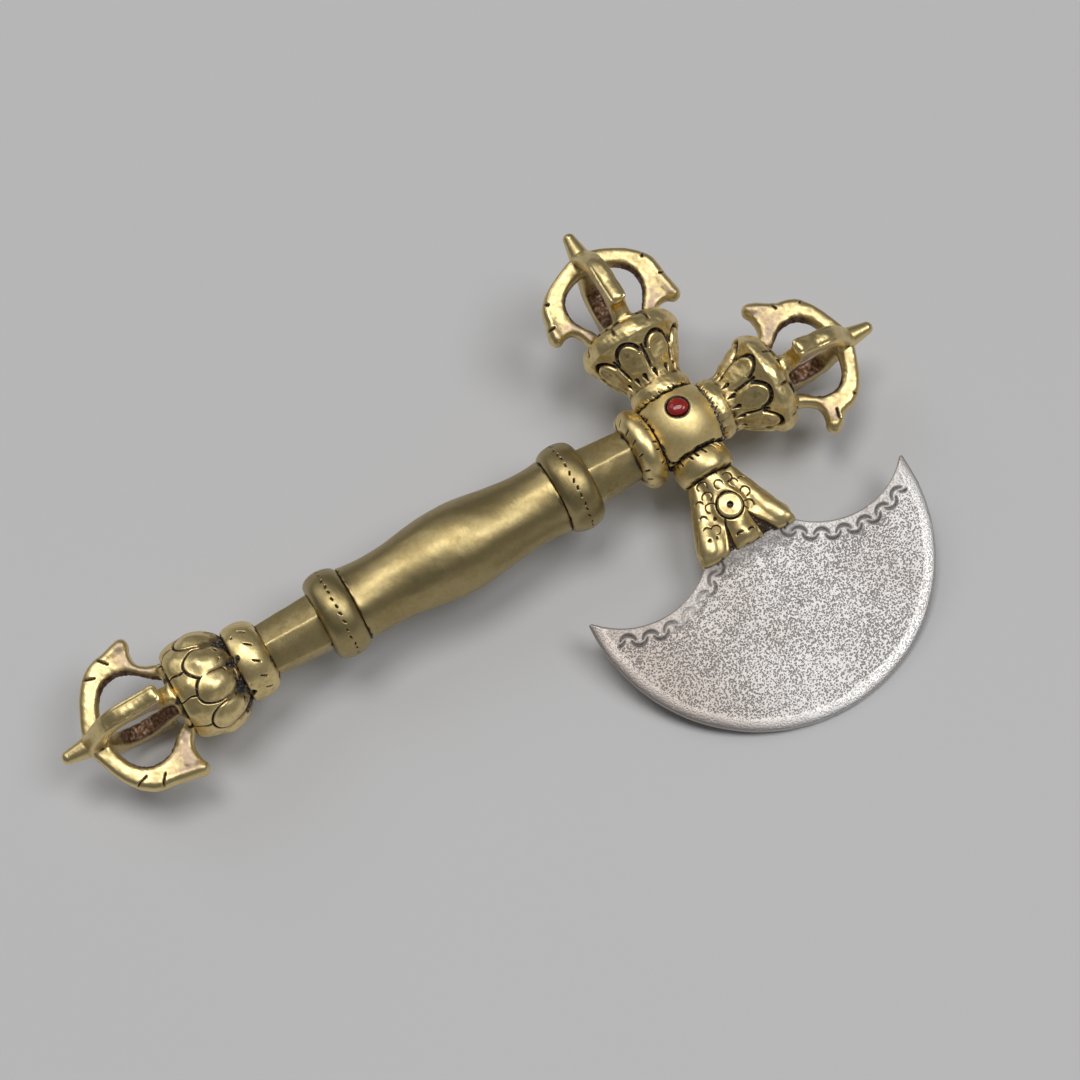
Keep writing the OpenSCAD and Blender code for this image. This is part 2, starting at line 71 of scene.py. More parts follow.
# %% [markdown]
# ## The plan of the chopper
# The chopper lies on the ground, so it leans: two spurs and the edge of the blade carry
# it. It is far easier to draw on it as if it lay square on a bench. The plan is that
# bench: u runs along the handle, w towards the top arm, and n stands out of the front,
# all in millimetres from the middle of the ball. The lean is read from the straight stud
# inside the top arm, so the plan always follows the solids.

# %% Find the middle of the ball and the lean
MM = 0.001


def middle(node):
    low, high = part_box(node)
    return (low + high) / 2


hub = middle("grip")
hub.x = middle("ball").x
stud_way = middle("top_stud") - hub
lean = math.atan2(stud_way.z, stud_way.y)
LEANED = Matrix.Rotation(lean, 3, "X")


def to_row(points):
    """Plan points in mm, as rows of u, w, n, to Blender's metres."""
    return MM * points @ np.array(LEANED).T + np.array(hub)


def to_plan(points):
    """Blender's metres back to plan points in mm."""
    return (points - np.array(hub)) @ np.array(LEANED) / MM


print("hub:", [round(v / MM, 2) for v in hub], "lean:", round(math.degrees(lean), 2))

# %% [markdown]
# ## Four arms
# Each arm has axes of its own: z runs outwards from the ball, x points to the front and y
# completes them. A turned piece is then the same job on every arm. Where a piece starts
# and ends is measured on its solid.

# %% Axes of the arms
OUTWARDS = {"handle": (-1, 0, 0), "right": (1, 0, 0), "top": (0, 1, 0), "makara": (0, -1, 0)}
FRONT = np.array([0.0, 0.0, 1.0])


def arm_axes(arm):
    """The arm's x, y and z as rows, in the plan."""
    out = np.array(OUTWARDS[arm], float)
    return np.stack([FRONT, np.cross(out, FRONT), out])


def point_rows(mesh, what):
    """The place, co, or the normal of every point of a mesh."""
    flat = np.empty(3 * len(mesh.vertices), np.float32)
    mesh.vertices.foreach_get(what, flat)
    return flat.reshape(-1, 3).astype(float)


def solid_points(node):
    """The corners of a piece's solid, in the plan."""
    return to_plan(point_rows(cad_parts[node].data, "co"))


def stretch(node, arm):
    """Where a piece starts and ends on its arm, in mm from the middle of the ball."""
    along = solid_points(node) @ arm_axes(arm)[2]
    return along.min(), along.max()


def length_of(node, arm):
    start, end = stretch(node, arm)
    return end - start


for arm, node in (("handle", "grip"), ("right", "right_lotus"), ("top", "top_lotus")):
    print(node, "from and to:", [round(v, 2) for v in stretch(node, arm)])

# %% [markdown]
# ## Tools for relief
# A chaser has few tools: a round punch, a straight chisel, a crescent and a tracer that
# cuts a line. Here each of them is a function that answers one question for every point
# of a surface: how far am I from this mark? A trench or a bump is then made from that
# distance. It is all arithmetic on whole arrays, so a hundred marks cost little. In every
# relief below, the number before a tool is its height or depth in mm. `hills` breaks up
# what would be too even: it takes the width of its lumps in mm and a seed.

# %% Punches, chisels and soft hills
def soft_step(x, low, high):
    """0 below low, 1 above high, and smooth between."""
    t = np.clip((x - low) / (high - low), 0, 1)
    return t * t * (3 - 2 * t)


def trench(distance, width):
    """A rounded trench between distance 0 and width: 1 in its middle, 0 at its sides."""
    return np.clip(1 - (2 * distance / width - 1) ** 2, 0, 1)


def groove(distance, width):
    """A rounded groove along the line where distance is 0."""
    return np.clip(1 - (2 * distance / width) ** 2, 0, 1)


def off_line(x, y, start, end):
    """The distance from a line between two points, and how far along it, 0 to 1."""
    run = np.subtract(end, start)
    t = np.clip(((x - start[0]) * run[0] + (y - start[1]) * run[1]) / (run @ run), 0, 1)
    return np.hypot(x - start[0] - t * run[0], y - start[1] - t * run[1]), t


def chisel(x, y, start, end, width):
    """A straight cut of that width between two points, with round ends."""
    return groove(off_line(x, y, start, end)[0], width)


def crescent(x, y, radius, facing, width, opening):
    """Part of a ring about the origin, facing an angle and opening that far to each side."""
    angle = np.abs((np.arctan2(y, x) - facing + np.pi) % (2 * np.pi) - np.pi)
    fade = soft_step(opening - angle, 0, 0.5)
    return groove(np.hypot(x, y) - radius, width) * fade


def tongue(x, y, root_y, root_r, tip_y, tip_r):
    """Distance from the edge of a tapered tongue with round ends: below 0 inside it."""
    run = tip_y - root_y
    slope = (root_r - tip_r) / run
    flank = math.sqrt(1 - slope * slope)
    px, py = np.abs(x), y - root_y
    along = py * flank - px * slope
    return np.where(along < 0, np.hypot(px, py) - root_r,
                    np.where(along > flank * run, np.hypot(px, py - run) - tip_r,
                             px * flank + py * slope - root_r))


def hills(points, size, seed, count=16):
    """Soft random hills about size mm wide, mostly between -1 and 1."""
    random = np.random.default_rng(seed)
    ways = random.normal(size=(count, 3))
    ways *= 2 * np.pi / size / np.linalg.norm(ways, axis=1, keepdims=True)
    ways *= random.uniform(0.6, 1.5, (count, 1))
    shifts = random.uniform(0, 2 * np.pi, count)
    total = sum(np.sin(points @ way + shift) for way, shift in zip(ways, shifts))
    return total / math.sqrt(2 * count)


def ragged(distance, points, reach, jag, size, seed, soft):
    """1 up to a distance of about reach, 0 beyond, with a border of soft that wanders by
    jag in lumps of that size. Crust and rust end like this."""
    return soft_step(reach + jag * hills(points, size, seed) - distance, 0, soft)


print("a groove 1 mm wide, from its middle out:", groove(np.array([0, 0.25, 0.5]), 1.0))

# %% [markdown]
# ## From arrays to pieces
# Every new piece goes through one function. It writes the mesh, shades it smooth, and
# stores marks on its points: `cut` where a chisel went, which on the lotuses also holds
# painted shade, `flank` on the flat sides of a prong, `inner` where no cloth ever polishes.
# It also works out `hollow` by itself, from the shape: each point is compared with the
# mean of its surroundings, so a point in a recess gets a value above 0 and one on a ridge
# a value below. Patina gathers in recesses and polish lives on ridges, and the materials
# read it from there.

# %% Write a piece
def smoothed(values, edges, rounds):
    """Each point's value drawn towards the mean of its neighbours, again and again."""
    count = len(values)
    shares = np.bincount(edges.ravel(), minlength=count)[:, None]
    for _ in range(rounds):
        total = np.stack([
            np.bincount(edges[:, 0], weights=column[edges[:, 1]], minlength=count)
            + np.bincount(edges[:, 1], weights=column[edges[:, 0]], minlength=count)
            for column in values.T], axis=1)
        values = 0.5 * values + 0.5 * total / shares
    return values


def edge_rows(mesh):
    """The two points of every edge of a mesh."""
    flat = np.empty(2 * len(mesh.edges), np.int32)
    mesh.edges.foreach_get("vertices", flat)
    return flat.reshape(-1, 2)


def move_points(mesh, points):
    mesh.vertices.foreach_set("co", points.astype(np.float32).ravel())
    mesh.update()


def new_object(name, data):
    """A new object, linked into the scene."""
    made = bpy.data.objects.new(name, data)
    bpy.context.scene.collection.objects.link(made)
    return made


HOLLOW_REACH = 1.0  # mm: how far round a point its surroundings go
HOLLOW_FULL = 0.12  # mm below its surroundings: a full recess
MOST_ROUNDS = 60


def finish_piece(mesh, name, replaced, points, marks):
    """points in the plan, marks as name and values. The object rides on the chopper."""
    inside = np.clip(to_row(points), *(np.array(corner) for corner in solid_box))
    move_points(mesh, inside)
    normals = point_rows(mesh, "normal") @ np.array(LEANED)
    edges = edge_rows(mesh)
    cell = np.median(np.linalg.norm(points[edges[:, 0]] - points[edges[:, 1]], axis=1))
    rounds = int(min(MOST_ROUNDS, (HOLLOW_REACH / cell) ** 2))
    depth = np.einsum("ij,ij->i", smoothed(points, edges, rounds) - points, normals)
    marks["hollow"] = np.clip(depth / HOLLOW_FULL, -1, 1)
    for mark, values in marks.items():
        layer = mesh.attributes.new(mark, "FLOAT", "POINT")
        layer.data.foreach_set("value", np.asarray(values, np.float32).ravel())
    mesh.shade_smooth()
    piece = new_object(name, mesh)
    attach(piece, "root")
    if replaced:
        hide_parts(*replaced)
    print(f"{name}: {len(points)} points, cells of {cell:.2f} mm")
    return piece


# %% [markdown]
# ## Turned pieces
# Rolls, collars, the grip and the lotuses are round about their arm. Each starts as an
# outline, drawn as points and curves, and ends as a tube of squares that is closed by a
# fan at both ends.

# %% Draw outlines and close a tube
def curve(a, b, c, d, count):
    """Points on the cubic curve from a to d, without a."""
    t = np.linspace(0, 1, count + 1)[1:, None]
    a, b, c, d = (np.array(p, float) for p in (a, b, c, d))
    return (1 - t) ** 3 * a + 3 * (1 - t) ** 2 * t * b + 3 * (1 - t) * t * t * c + t ** 3 * d


def drawn(first, *steps):
    """An outline as radius and height. A step is the next point, or a curve on from the
    last one: two handles, the end and a count of points."""
    rows = [np.array([first], float)]
    for step in steps:
        rows.append(np.array([step], float) if len(step) == 2 else curve(rows[-1][-1], *step))
    return np.vstack(rows)


def roll_outline(length, start_r, crest_r, end_r):
    """A padded crest between two ends, the crest's radius being true."""
    pull = (8 * crest_r - start_r - end_r) / 6
    return drawn([start_r - 0.15, 0], [start_r, 0.05],
                 ([pull, 0.1 * length], [pull, 0.9 * length], [end_r, length - 0.05], 20),
                 [end_r - 0.15, length])


def net(rows, around):
    """The faces of a closed tube: squares between its rings and a fan at each end."""
    here = np.arange(rows * around).reshape(rows, around)
    after = np.roll(here, -1, axis=1)
    quads = np.stack([here[:-1], after[:-1], after[1:], here[1:]], axis=-1).reshape(-1, 4)
    low, high = rows * around, rows * around + 1
    fans = [(low, int(b), int(a)) for a, b in zip(here[0], after[0])]
    fans += [(high, int(a), int(b)) for a, b in zip(here[-1], after[-1])]
    return quads.tolist() + fans


print("faces of a tube of 3 rings of 4:", len(net(3, 4)))

# %% [markdown]
# The obvious way to turn an outline is a Screw or a Spin, with the ornament laid on as a
# bump. But a bump vanishes at the outline, and chasing is deep enough to show there. So
# the surface is made as a fine grid, round and along, and each point is moved by the
# relief that its angle and its place ask for. Near the two ends it moves straight out
# from the arm, so that a piece keeps its length.

# %% Turn an outline on an arm, with relief
END_HELD, END_FREE = 0.15, 0.5  # mm from an end: moves straight out, moves freely
CAP_RINGS = (0.75, 0.4)  # the rings inside an end, as shares of its radius


def turn(name, arm, start, outline, relief, around, step, replaced=(),
         axes=None, foot=None):
    """outline holds radius and height from start. relief takes the angle from the front,
    the height, the radius and the point itself, and gives a height and a dict of marks."""
    axes = arm_axes(arm) if axes is None else axes
    outline = np.array(outline, float)
    run = np.concatenate([[0], np.cumsum(np.linalg.norm(np.diff(outline, axis=0), axis=1))])
    at = np.linspace(0, run[-1], max(4, int(run[-1] / step)))
    radius = np.interp(at, run, outline[:, 0])[:, None]
    height = np.interp(at, run, outline[:, 1])[:, None]
    slope_r, slope_h = np.gradient(radius[:, 0]), np.gradient(height[:, 0])
    steep = np.hypot(slope_r, slope_h)
    inland = soft_step(np.minimum(at, run[-1] - at), END_HELD, END_FREE)
    out_r = (1 + (slope_h / steep - 1) * inland)[:, None]
    out_h = (-slope_r / steep * inland)[:, None]
    angle = np.linspace(0, 2 * np.pi, around, endpoint=False)[None, :]
    angle, height, radius = np.broadcast_arrays(angle, height, radius)
    grid = np.stack([radius * np.cos(angle), radius * np.sin(angle), height], axis=-1)
    raised, marks = relief(angle, height, radius, grid)
    r, z = radius + raised * out_r, height + raised * out_h
    rings = np.stack([r * np.cos(angle), r * np.sin(angle), z], axis=-1)
    centres = np.zeros((2, 3))
    centres[:, 2] = rings[0, :, 2].mean(), rings[-1, :, 2].mean()
    caps = [centres[i] + (rings[-i] - centres[i]) * f for i in (0, 1) for f in CAP_RINGS]
    rings = np.concatenate([[caps[1], caps[0]], rings, [caps[2], caps[3]]])
    points = np.concatenate([rings.reshape(-1, 3), centres])
    points[:, 2] += start
    places = points @ axes + (np.zeros(3) if foot is None else foot)
    mesh = bpy.data.meshes.new(name)
    mesh.from_pydata(places.tolist(), [], net(len(rings), around))
    full = {}
    for mark, values in marks.items():
        values = np.broadcast_to(values, angle.shape)
        values = np.concatenate([values[:1], values[:1], values, values[-1:], values[-1:]])
        full[mark] = np.concatenate([values.ravel(), [0, 0]])
    return finish_piece(mesh, name, list(replaced), places, full)


def turn_skin(node, arm, outline, relief, around=460, step=0.1):
    """The skin of a round piece, turned from where its solid starts."""
    return turn(node + "_skin", arm, stretch(node, arm)[0], outline, relief, around, step,
                replaced=[node])


STAMP_HALF = 2.5  # mm: no stamp reaches further round the arm


def stamped(angle, height, radius, count, mark, jitter, seed, first=0.5):
    """mark(x, y, i) at count places round the arm: x runs round in mm, y along the arm."""
    random = np.random.default_rng(seed)
    total = np.zeros(angle.shape)
    pitch = 2 * np.pi / count
    for i in range(count):
        at = (i + first + jitter * random.uniform(-0.5, 0.5)) * pitch
        x = ((angle - at + np.pi) % (2 * np.pi) - np.pi) * radius
        near = np.abs(x) < STAMP_HALF
        spot = np.zeros(angle.shape)
        spot[near] = mark(x[near], height[near], i)
        total = np.maximum(total, spot)
    return total


# %% [markdown]
# ## Collars
# Two padded collars hold the grip between them. A row of small chisel cuts runs round
# the crest of each like a line of stitches, a little uneven because each is one blow of
# the hammer, and a crust sits in the crack where the collar meets the grip.

# %% Make the collars
COLLAR_R, COLLAR_END_R = 7.55, 6.2
STITCH_PITCH, STITCH_HALF, STITCH_WIDE = 1.4, 0.22, 0.3
MOST_BLOWS = 64  # more than any row has


def collar(name, grip_side, seed):
    length = length_of(name, "handle")
    random = np.random.default_rng(seed)
    tilts = random.uniform(-0.15, 0.15, MOST_BLOWS)
    lifts = random.uniform(-0.12, 0.12, MOST_BLOWS)

    def stitch(x, y, i):
        y = y - length / 2 - lifts[i]
        return chisel(x, y, (-STITCH_HALF, -tilts[i]), (STITCH_HALF, tilts[i]), STITCH_WIDE)

    def relief(angle, height, radius, points):
        count = int(2 * np.pi * COLLAR_R / STITCH_PITCH)
        cuts = stamped(angle, height, radius, count, stitch, 0.35, seed)
        edge = height if grip_side == "start" else length - height
        crack = ragged(edge, points, 0.12, 0.12, 2.2, seed + 1, 0.22)
        raised = 0.05 * hills(points, 4.5, seed + 2) - 0.28 * cuts - 0.15 * crack
        return raised, {"cut": np.maximum(cuts, 0.75 * crack)}

    outline = roll_outline(length, COLLAR_END_R, COLLAR_R, COLLAR_END_R)
    return turn_skin(name, "handle", outline, relief, step=0.11)


collars = [collar("upper_collar", "end", 11), collar("lower_collar", "start", 23)]

# %% [markdown]
# ## Grip
# The grip swells from two waists to a belly. It is plain, polished by the hand, so its
# outline does all the work. It is the same curve as the solid's, only finer, with hills
# of a few hundredths of a millimetre: without them cast brass looks like plastic.

# %% Make the grip
GRIP_END_R, GRIP_WAIST_R, GRIP_BELLY_R = 6.4, 6.1, 7.5
grip_length = length_of("grip", "handle")
half = drawn([GRIP_END_R - 0.2, 0], [GRIP_END_R, 0.12],
             ([GRIP_WAIST_R, 0.06 * grip_length], [0.97 * GRIP_WAIST_R, 0.14 * grip_length],
              [1.04 * GRIP_WAIST_R, 0.23 * grip_length], 12),
             ([1.11 * GRIP_WAIST_R, 0.32 * grip_length], [GRIP_BELLY_R, 0.38 * grip_length],
              [GRIP_BELLY_R, grip_length / 2], 16))
grip_outline = np.vstack([half, (half * [1, -1] + [0, grip_length])[-2::-1]])


def grip_relief(angle, height, radius, points):
    raised = 0.07 * hills(points, 9, 31) + 0.015 * hills(points, 2.5, 32)
    edge = np.minimum(height, grip_length - height)
    return raised, {"cut": 0.6 * ragged(edge, points, 0.35, 0.3, 1.8, 33, 0.4)}


grip = turn_skin("grip", "handle", grip_outline, grip_relief, 300, 0.2)

# %% [markdown]
# ## Six-sided necks
# A neck is filed from a round bar, and its corner faces the front. The radius of a
# six-sided bar is a formula of the angle. Six cosines, one for each flat, are joined by
# a high power, which softens the corners, and a share of the round bar is left in them.

# %% Make the necks
NECK_WIDE_R, NECK_SLIM_R = 5.35, 4.8
FILED, ROUND_BAR_R = 0.62, 0.94  # share of the filed shape, and the radius of the round rest
SHARPNESS = 40


def six_sided(angle):
    """The radius of a six-sided bar with corner radius 1, its corners softened."""
    flats = [np.clip(np.cos(angle - math.radians(30 + 60 * i)), 0, 1) for i in range(6)]
    filed = math.cos(math.radians(30)) / sum(f ** SHARPNESS for f in flats) ** (1 / SHARPNESS)
    return FILED * filed + (1 - FILED) * ROUND_BAR_R


def neck(name, wide_at, seed):
    length = length_of(name, "handle")
    radii = (NECK_WIDE_R, NECK_SLIM_R) if wide_at == "start" else (NECK_SLIM_R, NECK_WIDE_R)

    def relief(angle, height, radius, points):
        raised = radius * (six_sided(angle) - 1) + 0.035 * hills(points, 3.5, seed)
        edge = np.minimum(height, length - height)
        rust = ragged(edge, points, 0.3, 0.25, 2.4, seed + 1, 0.5)
        return raised, {"cut": 0.8 * rust}

    return turn_skin(name, "handle", [[radii[0], 0], [radii[1], length]], relief, 420, 0.15)


necks = [neck("upper_neck", "end", 41), neck("lower_neck", "start", 47)]

# %% [markdown]
# ## Rolls and ring
# The roll on the handle side has a row of short chisel ticks along both its edges, the
# one on the makara side deeper notches along the ball, like teeth, and the ring at the
# pommel has comma marks and holes of the casting on its far side. Each is crusted on the
# side of the ball, where the castings meet.

# %% Make the rolls and the ring
TICK_WIDE = 0.42


def ticked_roll(name, arm, radii, rows, seed, crust, pitted=0.0):
    """rows: place along the arm as a share, count round it, length, slant, depth and
    where the first one is. pitted: how far in mm casting holes reach from the far end."""
    length = length_of(name, arm)
    random = np.random.default_rng(seed)
    tilts = random.uniform(-0.14, 0.14, MOST_BLOWS)

    def relief(angle, height, radius, points):
        raised = 0.05 * hills(points, 4, seed)
        cut = np.zeros(angle.shape)
        for place, count, long, slant, deep, first in rows:
            def tick(x, y, i):
                y = y - place * length
                x = x - slant * y + tilts[i]
                return chisel(x, y, (0, -long / 2), (0, long / 2), TICK_WIDE)
            ticks = stamped(angle, height, radius, count, tick, 0.3, seed + count, first)
            raised = raised - deep * ticks
            cut = np.maximum(cut, ticks)
        edge = ragged(height, points, crust, 0.25, 1.6, seed + 5, 0.3)
        far = ragged(length - height, points, 0.2, 0.15, 1.6, seed + 6, 0.3)
        holes = soft_step(hills(points, 1.8, seed + 8), 0.5, 1.0)
        holes = holes * soft_step(pitted - length + height, 0, 0.6)
        raised = raised - 0.3 * edge - 0.2 * far + 0.1 * edge * hills(points, 0.8, seed + 7)
        return raised - 0.5 * holes, {"cut": np.maximum.reduce([cut, edge, 0.8 * far, holes])}

    return turn_skin(name, arm, roll_outline(length, *radii), relief)


rolls = [
    ticked_roll("handle_roll", "handle", (5.0, 6.9, 5.0),
                [(0.16, 20, 0.5, 0.4, 0.28, 0.5), (0.86, 16, 0.45, -0.4, 0.25, 0.0)], 53, 0.22),
    ticked_roll("makara_roll", "makara", (4.3, 5.0, 4.3),
                [(0.16, 20, 0.8, -0.4, 0.5, 0.5)], 59, 0.28),
    ticked_roll("pommel_ring", "handle", (4.8, 6.5, 6.0),
                [(0.42, 15, 0.8, 0.7, 0.4, 0.3)], 61, 0.2, 1.6)]

# %% [markdown]
# ## Bell lotuses
# The right and the top arm flare into a lotus. Eight petals stand round it: each is a
# domed tongue with a sunk middle, and a deep trench arches round its free end. Beyond the
# trench the second row of petals makes a padded lip, with a notch where two of them meet,
# over the middle of each petal below. A ring of drop-shaped punch marks closes the
# pattern at the roots. The trench, the dome and its edge all come from one value, the
# distance from the rim of the nearest petal.

# %% Make the bell lotuses
PETALS, DROPS, RIM_TICKS = 8, 16, 24
ARCH_AT, ARCH_SHARE = 0.56, 0.262  # the arch's middle on the length, its radius on the flare
DROP_AT = 0.24
LOTUS_ROOT_R, LOTUS_WAIST_R, MOUTH_R = 5.0, 4.8, 6.8


def bell_outline(length, flare_r):
    return drawn([LOTUS_ROOT_R - 0.15, 0], [LOTUS_ROOT_R, 0.06],
                 ([1.1 * LOTUS_ROOT_R, 0.04 * length], [1.07 * LOTUS_ROOT_R, 0.15 * length],
                  [1.02 * LOTUS_WAIST_R, 0.2 * length], 10),
                 ([0.93 * LOTUS_WAIST_R, 0.28 * length], [0.74 * flare_r, 0.5 * length],
                  [flare_r, 0.78 * length], 16),
                 ([1.03 * flare_r, 0.9 * length], [1.12 * MOUTH_R, length], [MOUTH_R, length], 12))


def bell_lotus(name, arm, flare_r, seed):
    length = length_of(name, arm)
    pitch = 2 * np.pi / PETALS
    arch_y, arch_r = ARCH_AT * length, ARCH_SHARE * flare_r

    def drop(x, y, i):
        return np.clip(-tongue(x, y - DROP_AT * length, 0.0, 0.14, 1.0, 0.46) / 0.25, 0, 1)

    def rim_tick(x, y, i):
        return chisel(x, y, (0.1, 0.1), (-0.15, 0.6), 0.34)

    def relief(angle, height, radius, points):
        y = height + 0.15 * hills(points, 6, seed + 1)
        off = angle + 0.02 * hills(points, 5, seed)
        x = (off % pitch - pitch / 2) * radius
        to_seam = pitch / 2 * radius - np.abs(x)
        from_arch = np.where(y > arch_y, np.hypot(x, y - arch_y) - arch_r, -to_seam + 0.25)
        arch = groove(from_arch, 0.75) * soft_step(y, arch_y - 0.6, arch_y + 0.5)
        side = groove(to_seam, 0.7) * soft_step(y, 0.31 * length, 0.4 * length)
        side = side * soft_step(arch_y + 1.2 - y, 0, 0.5)
        trough = np.maximum(arch, side)
        petal = soft_step(-from_arch, 0.2, 0.75) * soft_step(y, 0.3 * length, 0.45 * length)
        sunk = np.exp(-(x / 1.1) ** 2 - ((y - arch_y - 0.3) / 1.5) ** 2)
        lip = soft_step(y, 0.66 * length, 0.84 * length)
        lobes = lip * np.cos(PETALS * angle)
        notch = groove(x, 0.8) * soft_step(y, 0.84 * length, 0.92 * length)
        drops = stamped(angle, height, radius, DROPS, drop, 0.25, seed + 2, 0.25)
        ticks = stamped(angle, height, radius, RIM_TICKS, rim_tick, 0.6, seed + 3)
        crust = ragged(height, points, 0.25, 0.25, 1.5, seed + 4, 0.3)
        deep = 0.42 + 0.3 * soft_step(y, 0.5 * length, 0.72 * length)
        raised = (0.32 * petal - 0.26 * sunk * petal - deep * trough + 0.22 * lip + 0.12 * lobes
                  - 0.25 * notch - 0.5 * drops - 0.15 * ticks - 0.25 * crust
                  + 0.06 * hills(points, 3, seed + 5) + 0.025 * hills(points, 1.1, seed + 6))
        rim = soft_step(length - height, 0.0, 0.35)
        cut = np.maximum.reduce([trough, drops, 0.7 * notch, 0.7 * ticks, crust])
        # Painted shade: the sunk middle of each petal is darkened in blotches, through the cut
        # mark.
        shade = 0.3 * sunk * soft_step(hills(points, 1.6, seed + 7), -0.2, 0.8)
        return raised * (0.3 + 0.7 * rim), {"cut": np.maximum(cut, shade)}

    return turn_skin(name, arm, bell_outline(length, flare_r), relief, 600)


lotuses = [bell_lotus("right_lotus", "right", 8.5, 71), bell_lotus("top_lotus", "top", 8.4, 83)]

# %% [markdown]
# ## Pommel lotus
# The lotus at the pommel is rounder and drawn more freely: nine domed petals, set by eye
# and not quite evenly, each framed on its outer side by a cut arc. From the crown of each
# arc a short cut runs to the mouth and parts the lobes of the second row. Near the ring
# the casting is rough and pitted.

# %% Make the pommel lotus
PETAL_TURNS = [12.5, -19.0] + [-61.0 - 40.9 * i for i in range(7)]  # degrees from the front
PETAL_HALF, PETAL_TOP, PETAL_TAIL = 2.5, 2.75, 5.2  # mm from the middle of a petal
PETAL_AT = 0.44  # the middle of the petals on the length
POMMEL_ROOT_R, POMMEL_BELLY_R = 6.0, 8.4


def pommel_lotus_outline(length):
    return drawn([POMMEL_ROOT_R - 0.2, 0], [POMMEL_ROOT_R, 0.08],
                 ([1.2 * POMMEL_ROOT_R, 0.12 * length], [POMMEL_BELLY_R, 0.3 * length],
                  [POMMEL_BELLY_R, 0.58 * length], 14),
                 ([POMMEL_BELLY_R, 0.84 * length], [1.1 * MOUTH_R, length], [MOUTH_R, length], 14))


def pommel_lotus_relief(length, seed):
    turns = np.radians(np.sort(np.mod(PETAL_TURNS, 360)))

    def relief(angle, height, radius, points):
        wobble = 0.15 * hills(points, 4, seed)
        away = (angle[None] - turns[:, None, None] + np.pi) % (2 * np.pi) - np.pi
        nearest = np.abs(away).argmin(axis=0)
        x = np.take_along_axis(away, nearest[None], axis=0)[0] * radius + wobble
        y = height - PETAL_AT * length + 0.15 * hills(points, 5, seed + 1)
        oval = np.hypot(x / PETAL_HALF, y / np.where(y > 0, PETAL_TOP, PETAL_TAIL))
        inside = (oval - 1) * PETAL_HALF
        outer = soft_step(y, -1.2, 0.8)
        arc = trench(inside, 0.45) * outer
        valley = soft_step(inside, -0.7, 0.2) * (1 - outer)
        dome = soft_step(-inside, 0, 2.2)
        part = groove(x + 0.3 * hills(points, 3, seed + 2), 0.42)
        part = part * soft_step(y, 2.9, 3.4)
        lobe = np.cos(np.clip(np.abs(x) / 2.9, 0, 1) * np.pi)
        rough = soft_step(0.24 * length - height, 0, 1.4)
        pits = soft_step(hills(points, 1.7, seed + 3), 0.35, 0.9) * rough
        raised = (0.5 * dome - 0.42 * arc - 0.25 * valley - 0.3 * part
                  - 0.12 * lobe * soft_step(y, 2.6, 3.6) - 0.5 * pits
                  + 0.05 * hills(points, 2.5, seed + 4))
        # Painted shade: the valleys below the arcs and the rough part near the ring are darkened
        # through the cut mark.
        shade = 0.45 * valley + 0.4 * rough
        root = ragged(height, points, 0.5, 0.4, 1.5, seed + 5, 0.5)
        return raised - 0.2 * root, {"cut": np.maximum.reduce([arc, part, pits, root, shade])}

    return relief


pommel_length = length_of("pommel_lotus", "handle")
lotuses.append(turn_skin("pommel_lotus", "handle", pommel_lotus_outline(pommel_length),
                         pommel_lotus_relief(pommel_length, 97), 600))

# %% [markdown]
# ## Skins of cast pieces
# The half-vajra cages, the ball, the makara head and the blade are not round, so they
# take another way. Their solids already have the right shape, only their edges are as
# sharp as a drawing. The Remesh modifier lays an even net of small squares over a solid,
# and Smooth draws its edges round as casting and polishing do. Both work best on a
# shape that stands square, so the solid goes into the plan first.

# %% Recast a solid as an even skin
CAGE_GRAIN, BALL_GRAIN, HEAD_GRAIN, BLADE_GRAIN = 0.15, 0.16, 0.12, 0.185  # mm


def recast(name, node, grain, soften):
    """A mesh of cells grain mm wide, with its points and its normals in the plan."""
    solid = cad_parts[node].data
    rough = bpy.data.meshes.new("rough")
    rough.from_pydata(solid_points(node).tolist(), [],
                      [tuple(face.vertices) for face in solid.polygons])
    form = new_object("rough", rough)
    even = form.modifiers.new("even", "REMESH")
    even.mode = "VOXEL"
    even.voxel_size = grain
    round_off = form.modifiers.new("round off", "SMOOTH")
    round_off.factor = 0.5
    round_off.iterations = soften
    seen = form.evaluated_get(bpy.context.evaluated_depsgraph_get())
    skin = bpy.data.meshes.new_from_object(seen)
    bpy.data.objects.remove(form)
    bpy.data.meshes.remove(rough)
    skin.name = name
    return skin, point_rows(skin, "co"), point_rows(skin, "normal")


# %% [markdown]
# ## Half-vajra cages
# Four prongs curve up from a lotus and meet in a slender bud with a round tip. Their flat
# sides were dressed with a file, and the bare metal has turned pinkish. The outer edges
# are rounded and polished by handling, and the inner walls keep the dark skin of the
# casting. The two side prongs have two small nicks of a chisel at the outer edge of their
# flats. The place of a point tells which prong it belongs to, and its normal tells flat,
# edge and inner wall apart.

# %% Make the cages
NICKS = [((9.9, 5.9), (11.2, 5.5)), ((8.9, 9.9), (9.8, 10.8))]  # radius and height, in mm
POMMEL_NICKS = [((10.0, 7.5), (11.6, 8.9)), ((9.0, 10.4), (9.7, 12.6))]
PRONG_HALF = 1.45  # half the thickness of a prong
BUD_R, BUD_TAPER, BUD_LENGTH, BUD_REACH = 1.12, 0.2, 5.0, 2.4
EDGE_ROUNDS = 120


